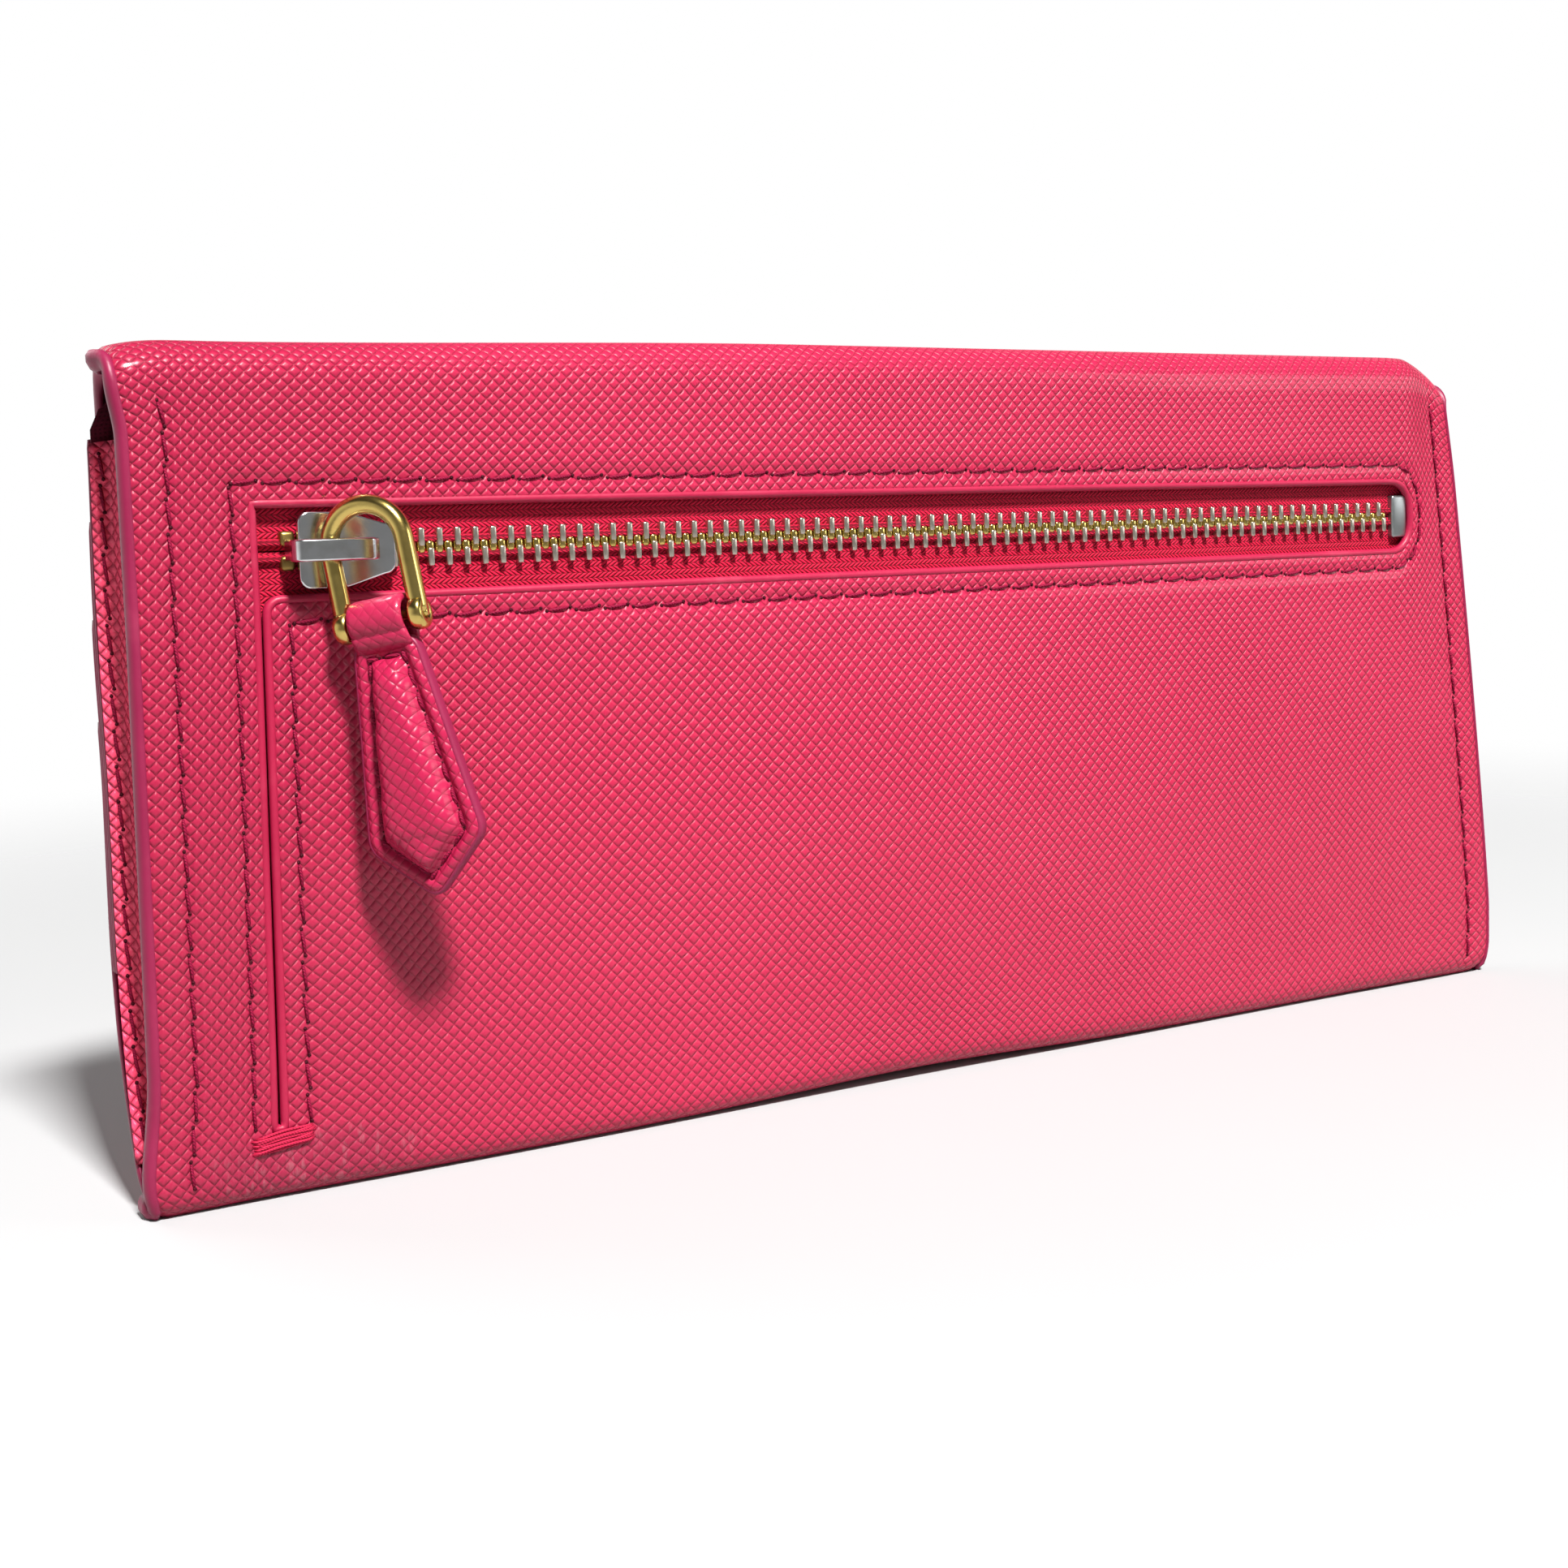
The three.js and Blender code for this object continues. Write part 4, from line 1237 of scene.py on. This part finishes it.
def tab_outline(inset=0.0):
    """The tab's outline with rounded corners, drawn from the neck round by the tip."""
    corner = 1.3 * mm
    corners = [(tab_neck, neck_z), (tab_wide, corner_z), (0, tip_z), (-tab_wide, corner_z),
               (-tab_neck, neck_z)]
    middle = np.array([0, (neck_z + corner_z) / 2 - 1 * mm])
    row = []
    for k, spot in enumerate(corners):
        before, after = np.array(corners[k - 1]), np.array(corners[(k + 1) % len(corners)])
        spot = np.array(spot)
        a, b = (before - spot) / np.linalg.norm(before - spot), (after - spot) / np.linalg.norm(after - spot)
        start, stop = spot + a * corner, spot + b * corner
        for t in np.linspace(0, 1, 7):
            row.append((1 - t) ** 2 * start + 2 * t * (1 - t) * spot + t * t * stop)
    row = np.array(row)
    if inset:
        row = resample(row, 0.4 * mm, True)
        ahead = np.roll(row, -1, 0) - np.roll(row, 1, 0)
        ahead /= np.linalg.norm(ahead, axis=1, keepdims=True)
        side = np.stack([ahead[:, 1], -ahead[:, 0]], -1)
        side *= np.sign(((middle - row) * side).sum(1, keepdims=True))
        row = row + side * inset
    return row


def tab_grid():
    """Nested outlines from the edge to the middle line, as flat points and faces."""
    base = resample(tab_outline(), 0.4 * mm, True)
    size = len(base)
    middle = np.stack([np.zeros(size), np.clip(base[:, 1], tip_z + 6.5 * mm, neck_z - 3.2 * mm)], -1)
    shares = np.concatenate([np.linspace(0, 0.32, 9), np.linspace(0.39, 0.93, 9)])
    points = [base * (1 - share) + middle * share for share in shares]
    steps = np.round((middle[:, 1] - middle[:, 1].min()) / (0.45 * mm)).astype(int)
    spine = [(0, middle[:, 1].min() + k * 0.45 * mm) for k in range(steps.max() + 1)]
    points = np.concatenate([*points, np.array(spine)])
    last = len(shares) - 1
    index = [[r * size + k for k in range(size)] for r in range(last + 1)]
    index.append([(last + 1) * size + steps[k] for k in range(size)])
    faces = []
    for r in range(last + 1):
        for k in range(size):
            m = (k + 1) % size
            corners = [index[r][k], index[r][m], index[r + 1][m], index[r + 1][k]]
            faces.append([int(c) for n, c in enumerate(corners) if c not in corners[:n]])
    return points, faces, size


def blow_up(flat, faces, depth):
    """Share of the full swell at each point, for a leather sewn along its rim and filled from behind.

    A cloth pinned at the seam gives the shape, which is then rounded. make_tab sets the height.
    """
    scale, roundness, seam_depth = 100, 2.4, 1.75 * mm
    points = [(x * scale, 0, z * scale) for x, z in flat]
    trial = new_mesh("pad_trial", points, faces, tab_leather)
    held = trial.vertex_groups.new(name="seam")
    held.add([int(k) for k in np.nonzero(depth < seam_depth)[0]], 1.0, "REPLACE")
    cloth = trial.modifiers.new("cloth", "CLOTH")
    cloth.settings.vertex_group_mass = "seam"
    cloth.settings.quality = 6
    cloth.settings.tension_stiffness = 10
    cloth.settings.compression_stiffness = 10
    cloth.settings.bending_stiffness = 2
    cloth.settings.use_pressure = True
    cloth.settings.uniform_pressure_force = 4
    cloth.settings.effector_weights.gravity = 0
    cloth.collision_settings.use_collision = False
    for moment in range(1, 21):
        bpy.context.scene.frame_set(moment)
    swollen = trial.evaluated_get(bpy.context.evaluated_depsgraph_get()).data
    spots = np.array([v.co for v in swollen.vertices])
    bpy.data.objects.remove(trial)
    swell = np.abs(spots[:, 1])
    share = np.clip(swell / max(swell.max(), 1e-6), 0, 1)
    return 1 - (1 - share) ** roundness


def tab_height(depth):
    """Rounded edge and sewn channel."""
    edge = 0.30 * mm * (1 - smooth(depth, 0, 0.6 * mm))
    channel = 0.46 * mm * np.exp(-((depth - 1.6 * mm) / (0.50 * mm)) ** 2)
    return 0.75 * mm - edge - channel


def make_tab():
    """Two padded leathers sewn together round a filler, with a painted edge."""
    flat, faces, size = tab_grid()
    rim = resample(tab_outline(), 0.3 * mm, True)
    depth = np.min(np.linalg.norm(flat[:, None] - rim[None], axis=2), axis=1)
    swell = blow_up(flat, faces, depth)
    made = []
    for side, name, node, rise in ((-1, "tab_face", "tab_front", 1.9), (1, "tab_reverse", "tab_back", 0.9)):
        crown = 0.35 * mm + tab_height(depth) + rise * mm * swell
        outer = np.stack([flat[:, 0], side * crown, flat[:, 1]], -1)
        under = np.stack([flat[:size, 0], np.full(size, side * 0.12 * mm), flat[:size, 1]], -1)
        points = at_pull(pin_place, np.concatenate([outer, under]))
        shift = len(flat)
        wall = [(k, shift + k, shift + (k + 1) % size, (k + 1) % size) for k in range(size)]
        floor = [tuple(range(shift, shift + size))]
        grain = np.concatenate([flat, flat[:size]]) + np.array([0.6 if side < 0 else 0.75, 0.35])
        piece = new_mesh(name, points, [*faces, *wall, *floor], tab_leather, grain)
        turn_faces_out(piece)
        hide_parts(node)
        made.append((piece, "leather"))

    rim_world = at_pull(pin_place, np.stack([rim[:, 0], np.zeros(len(rim)), rim[:, 1]], -1))
    facing = np.tile(np.array(inward), (len(rim_world), 1))
    bead = tube("tab_edge", rim_world, facing, 0.85 * mm, 0.34 * mm, True, edge_paint, 12, 0.8)
    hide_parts("tab_filler")
    made.append((bead, "leather"))
    for side, name in ((-1, "tab_stitches"), (1, "tab_reverse_stitches")):
        made += [(p, "thread") for p in sew_tab(name, side)]
    made.append((make_tab_loop(), "leather"))
    for p, slot_name in made:
        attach(p, "tab")


def sew_tab(name, side):
    """The tab's ring of stitches, and dark specks of painted shade at their needle holes, on one side of it.
    """
    line = resample(tab_outline(1.6 * mm), 0.1 * mm, True)
    length = 0.1 * mm * len(line)
    count = int(length / (2.6 * mm))
    bodies, holes = [], []
    for k in range(count):
        t = np.linspace(-1, 1, 7)
        place = ((k + 0.5 + t * 0.40) * len(line) / count).astype(int) % len(line)
        spots = line[place]
        lift = 0.35 * mm + 0.42 * mm + (0.10 - 0.40 * np.abs(t) ** 2.6) * mm
        points = np.stack([spots[:, 0], side * lift, spots[:, 1]], -1)
        bodies.append((at_pull(pin_place, points), np.tile(np.array(inward) * side, (7, 1)),
                       0.24 * mm * np.sqrt(1 - (0.9 * t) ** 4)))
        for end in (0, -1):
            spot = [[spots[end, 0], side * 0.60 * mm, spots[end, 1]]]
            holes.append(at_pull(pin_place, spot))
    return strands(name, bodies, thread), specks(name + "_holes", np.concatenate(holes), 0.2 * mm)


def make_tab_loop():
    """Smooth strap that wraps the pin and runs into the neck of the tab."""
    radius = 1.95 * mm
    tail = [(0.60 * mm, -3.0 * mm, 3.25 * mm), (1.10 * mm, -2.3 * mm, 3.2 * mm),
            (1.55 * mm, -1.4 * mm, 3.15 * mm)]
    path = list(tail)
    for angle in np.linspace(-42, 222, 30):
        turn = math.radians(angle)
        path.append((radius * math.cos(turn), radius * math.sin(turn), 3.1 * mm))
    path += [(-y, z, wide) for y, z, wide in reversed(tail)]
    section = [(-1, 0.0), (-0.94, 0.75), (-0.8, 1), (0.8, 1), (0.94, 0.75), (1, 0), (0.94, -0.75), (0.8, -1),
               (-0.8, -1), (-0.94, -0.75)]
    flat = np.array([(y, z) for y, z, _ in path])
    ahead = np.gradient(flat, axis=0)
    ahead /= np.linalg.norm(ahead, axis=1, keepdims=True)
    out = np.stack([ahead[:, 1], -ahead[:, 0]], -1)
    points, faces = [], []
    for (y, z, wide), n in zip(path, out):
        for across, high in section:
            points.append((across * wide, y + n[0] * high * 0.45 * mm, z + n[1] * high * 0.45 * mm))
    sides = len(section)
    for i in range(len(path) - 1):
        for k in range(sides):
            m = (k + 1) % sides
            faces.append((i * sides + k, i * sides + m, (i + 1) * sides + m, (i + 1) * sides + k))
    faces.append(tuple(range(sides)))
    faces.append(tuple(reversed(range((len(path) - 1) * sides, len(path) * sides))))
    length = np.concatenate([[0], np.cumsum(np.linalg.norm(np.diff(flat, axis=0), axis=1))])
    uvs = [(across * wide, along) for (_, _, wide), along in zip(path, length) for across, _ in section]
    piece = new_mesh("tab_neck_loop", at_pull(pin_place, points), faces, strap_leather, uvs)
    turn_faces_out(piece)
    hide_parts("tab_loop")
    return piece


def make_bar_tack(sheet):
    """A close bundle of thread across the foot of the slit."""
    low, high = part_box("bar_tack")
    middle = slot_left + slit_width / 2
    rng = np.random.default_rng(4)
    bodies = []
    for k in range(15):
        height = panel(slit_foot - 0.35 * mm - 0.11 * mm * k)
        ends = (middle - 3.0 * mm + rng.uniform(-0.35, 0.35) * mm,
                middle + 3.1 * mm + rng.uniform(-0.35, 0.35) * mm)
        t = np.linspace(0, 1, 13)
        xs = ends[0] + (ends[1] - ends[0]) * t
        drift = rng.uniform(-0.25, 0.25) * mm
        ss = height + drift * np.sin(t * math.pi) + (xs - middle) * 0.12
        crown = (0.42 + 0.12 * math.sin(k * 2.1)) * mm
        lift = crown * np.sqrt(np.clip(1 - (2 * t - 1) ** 6, 0.0, 1)) - 0.12 * mm
        centre = sheet.points(xs, ss, lift)
        bodies.append((centre, sheet.normals(xs, ss), np.full(13, 0.15 * mm)))
    piece = strands("tack_bundle", bodies, tack_thread)
    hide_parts("bar_tack")
    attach(piece, "body")


def make_snap():
    """The press snap keeps its shape from the frame and gets a struck-metal finish."""
    for node in ("snap_socket", "snap_stud"):
        snap_piece = frame["nodes"][node]
        snap_piece.data.materials.clear()
        snap_piece.data.materials.append(nickel)


# ---------------------------------------------------------------- floor, light and camera

def make_floor():
    """A light grey round floor that fades out towards its rim."""
    count, rings, reach = 64, 24, 0.9
    points = [(0, 0, 0)]
    points += [(reach * r / rings * math.cos(2 * math.pi * k / count), reach * r / rings * math.sin(
        2 * math.pi * k / count), 0) for r in range(1, rings + 1) for k in range(count)]
    faces = [(0, 1 + k, 1 + (k + 1) % count) for k in range(count)]
    for r in range(rings - 1):
        start = 1 + r * count
        faces += [(start + k, start + count + k, start + count + (k + 1) % count, start + (k + 1) % count)
                  for k in range(count)]
    shade = Shade("studio_floor", roughness=0.9, Specular_IOR_Level=0.2)
    x, y, _ = shade.split(shade.inside())
    cloud = shade.noise(shade.inside(), 8.0, 3.0)
    shade.set("Base Color", shade.mix(cloud, (0.36, 0.36, 0.36, 1), (0.38, 0.38, 0.38, 1)))
    shade.set("Alpha", 1 - ((x ** 2 + y ** 2) ** 0.5).between(0.12, 0.42))
    floor = new_mesh("floor", points, faces, shade.material)


def add_light(name, place, aim, size, power):
    data = bpy.data.lights.new(name, "AREA")
    data.shape = "SQUARE"
    data.size = size
    data.energy = power
    light = bpy.data.objects.new(name, data)
    light.location = place
    light.rotation_euler = (Vector(aim) - Vector(place)).to_track_quat("-Z", "Y").to_euler()
    bpy.context.scene.collection.objects.link(light)


def add_ramp(tree, source, span, values):
    """A smooth ramp from one value to another, over a span of its source."""
    ramp = tree.nodes.new("ShaderNodeMapRange")
    ramp.interpolation_type = "SMOOTHSTEP"
    for word, pair in (("From", span), ("To", values)):
        ramp.inputs[word + " Min"].default_value = pair[0]
        ramp.inputs[word + " Max"].default_value = pair[1]
    tree.links.new(source, ramp.inputs["Value"])
    return ramp.outputs[0]


def make_lights():
    """Three lamps, and a white world that is dimmer overhead and on the side the back leather faces."""
    aim = (0, 0, 0.05)
    add_light("key", (-0.10, -0.72, 1.05), aim, 0.16, 44)
    add_light("soft_fill", (1.1, -0.9, 0.45), aim, 0.5, 4)
    add_light("rear_fill", (-0.5, 0.9, 0.7), aim, 0.8, 6)
    world = bpy.data.worlds.new("studio")
    world.use_nodes = True
    tree = world.node_tree
    place = tree.nodes.new("ShaderNodeTexCoord")
    parts = tree.nodes.new("ShaderNodeSeparateXYZ")
    tree.links.new(place.outputs["Generated"], parts.inputs[0])
    overhead = add_ramp(tree, parts.outputs["Z"], (0.28, 0.6), (1.0, 0.05))
    across = add_ramp(tree, parts.outputs["Y"], (-0.7, 0.1), (0.22, 1.0))
    both = tree.nodes.new("ShaderNodeMath")
    both.operation = "MULTIPLY"
    tree.links.new(overhead, both.inputs[0])
    tree.links.new(across, both.inputs[1])
    background = tree.nodes["Background"]
    background.inputs["Color"].default_value = (1, 1, 1, 1)
    tree.links.new(both.outputs[0], background.inputs["Strength"])
    bpy.context.scene.world = world
    bpy.context.scene.view_settings.view_transform = "Standard"


def make_camera():
    """A camera off the left end of the back, looking a little down along it."""
    data = bpy.data.cameras.new("camera")
    data.lens = 47.27
    data.sensor_width = 36
    data.shift_y = -0.0415
    data.clip_start = 0.01
    camera = bpy.data.objects.new("camera", data)
    place = (-0.14158, -0.21918, 0.0671)
    ahead = Vector((0.4987, 0.8624, -0.0872)).normalized()
    right = Vector((0.8638, -0.5028, -0.0320))
    right = (right - ahead * right.dot(ahead)).normalized()
    up = right.cross(ahead)
    camera.matrix_world = Matrix(((right.x, up.x, -ahead.x, place[0]), (right.y, up.y, -ahead.y, place[1]),
                                  (right.z, up.z, -ahead.z, place[2]), (0, 0, 0, 1)))
    bpy.context.scene.collection.objects.link(camera)
    bpy.context.scene.camera = camera


make_camera()
back_sheet = make_back()
make_flap()
make_flap_lining()
make_front_leaf()
make_gusset(-1, "left")
make_gusset(1, "right")
make_coin_pocket()
make_tapes()
make_teeth()
make_slider()
make_ring()
make_tab()
make_bar_tack(back_sheet)
make_snap()
make_floor()
make_lights()
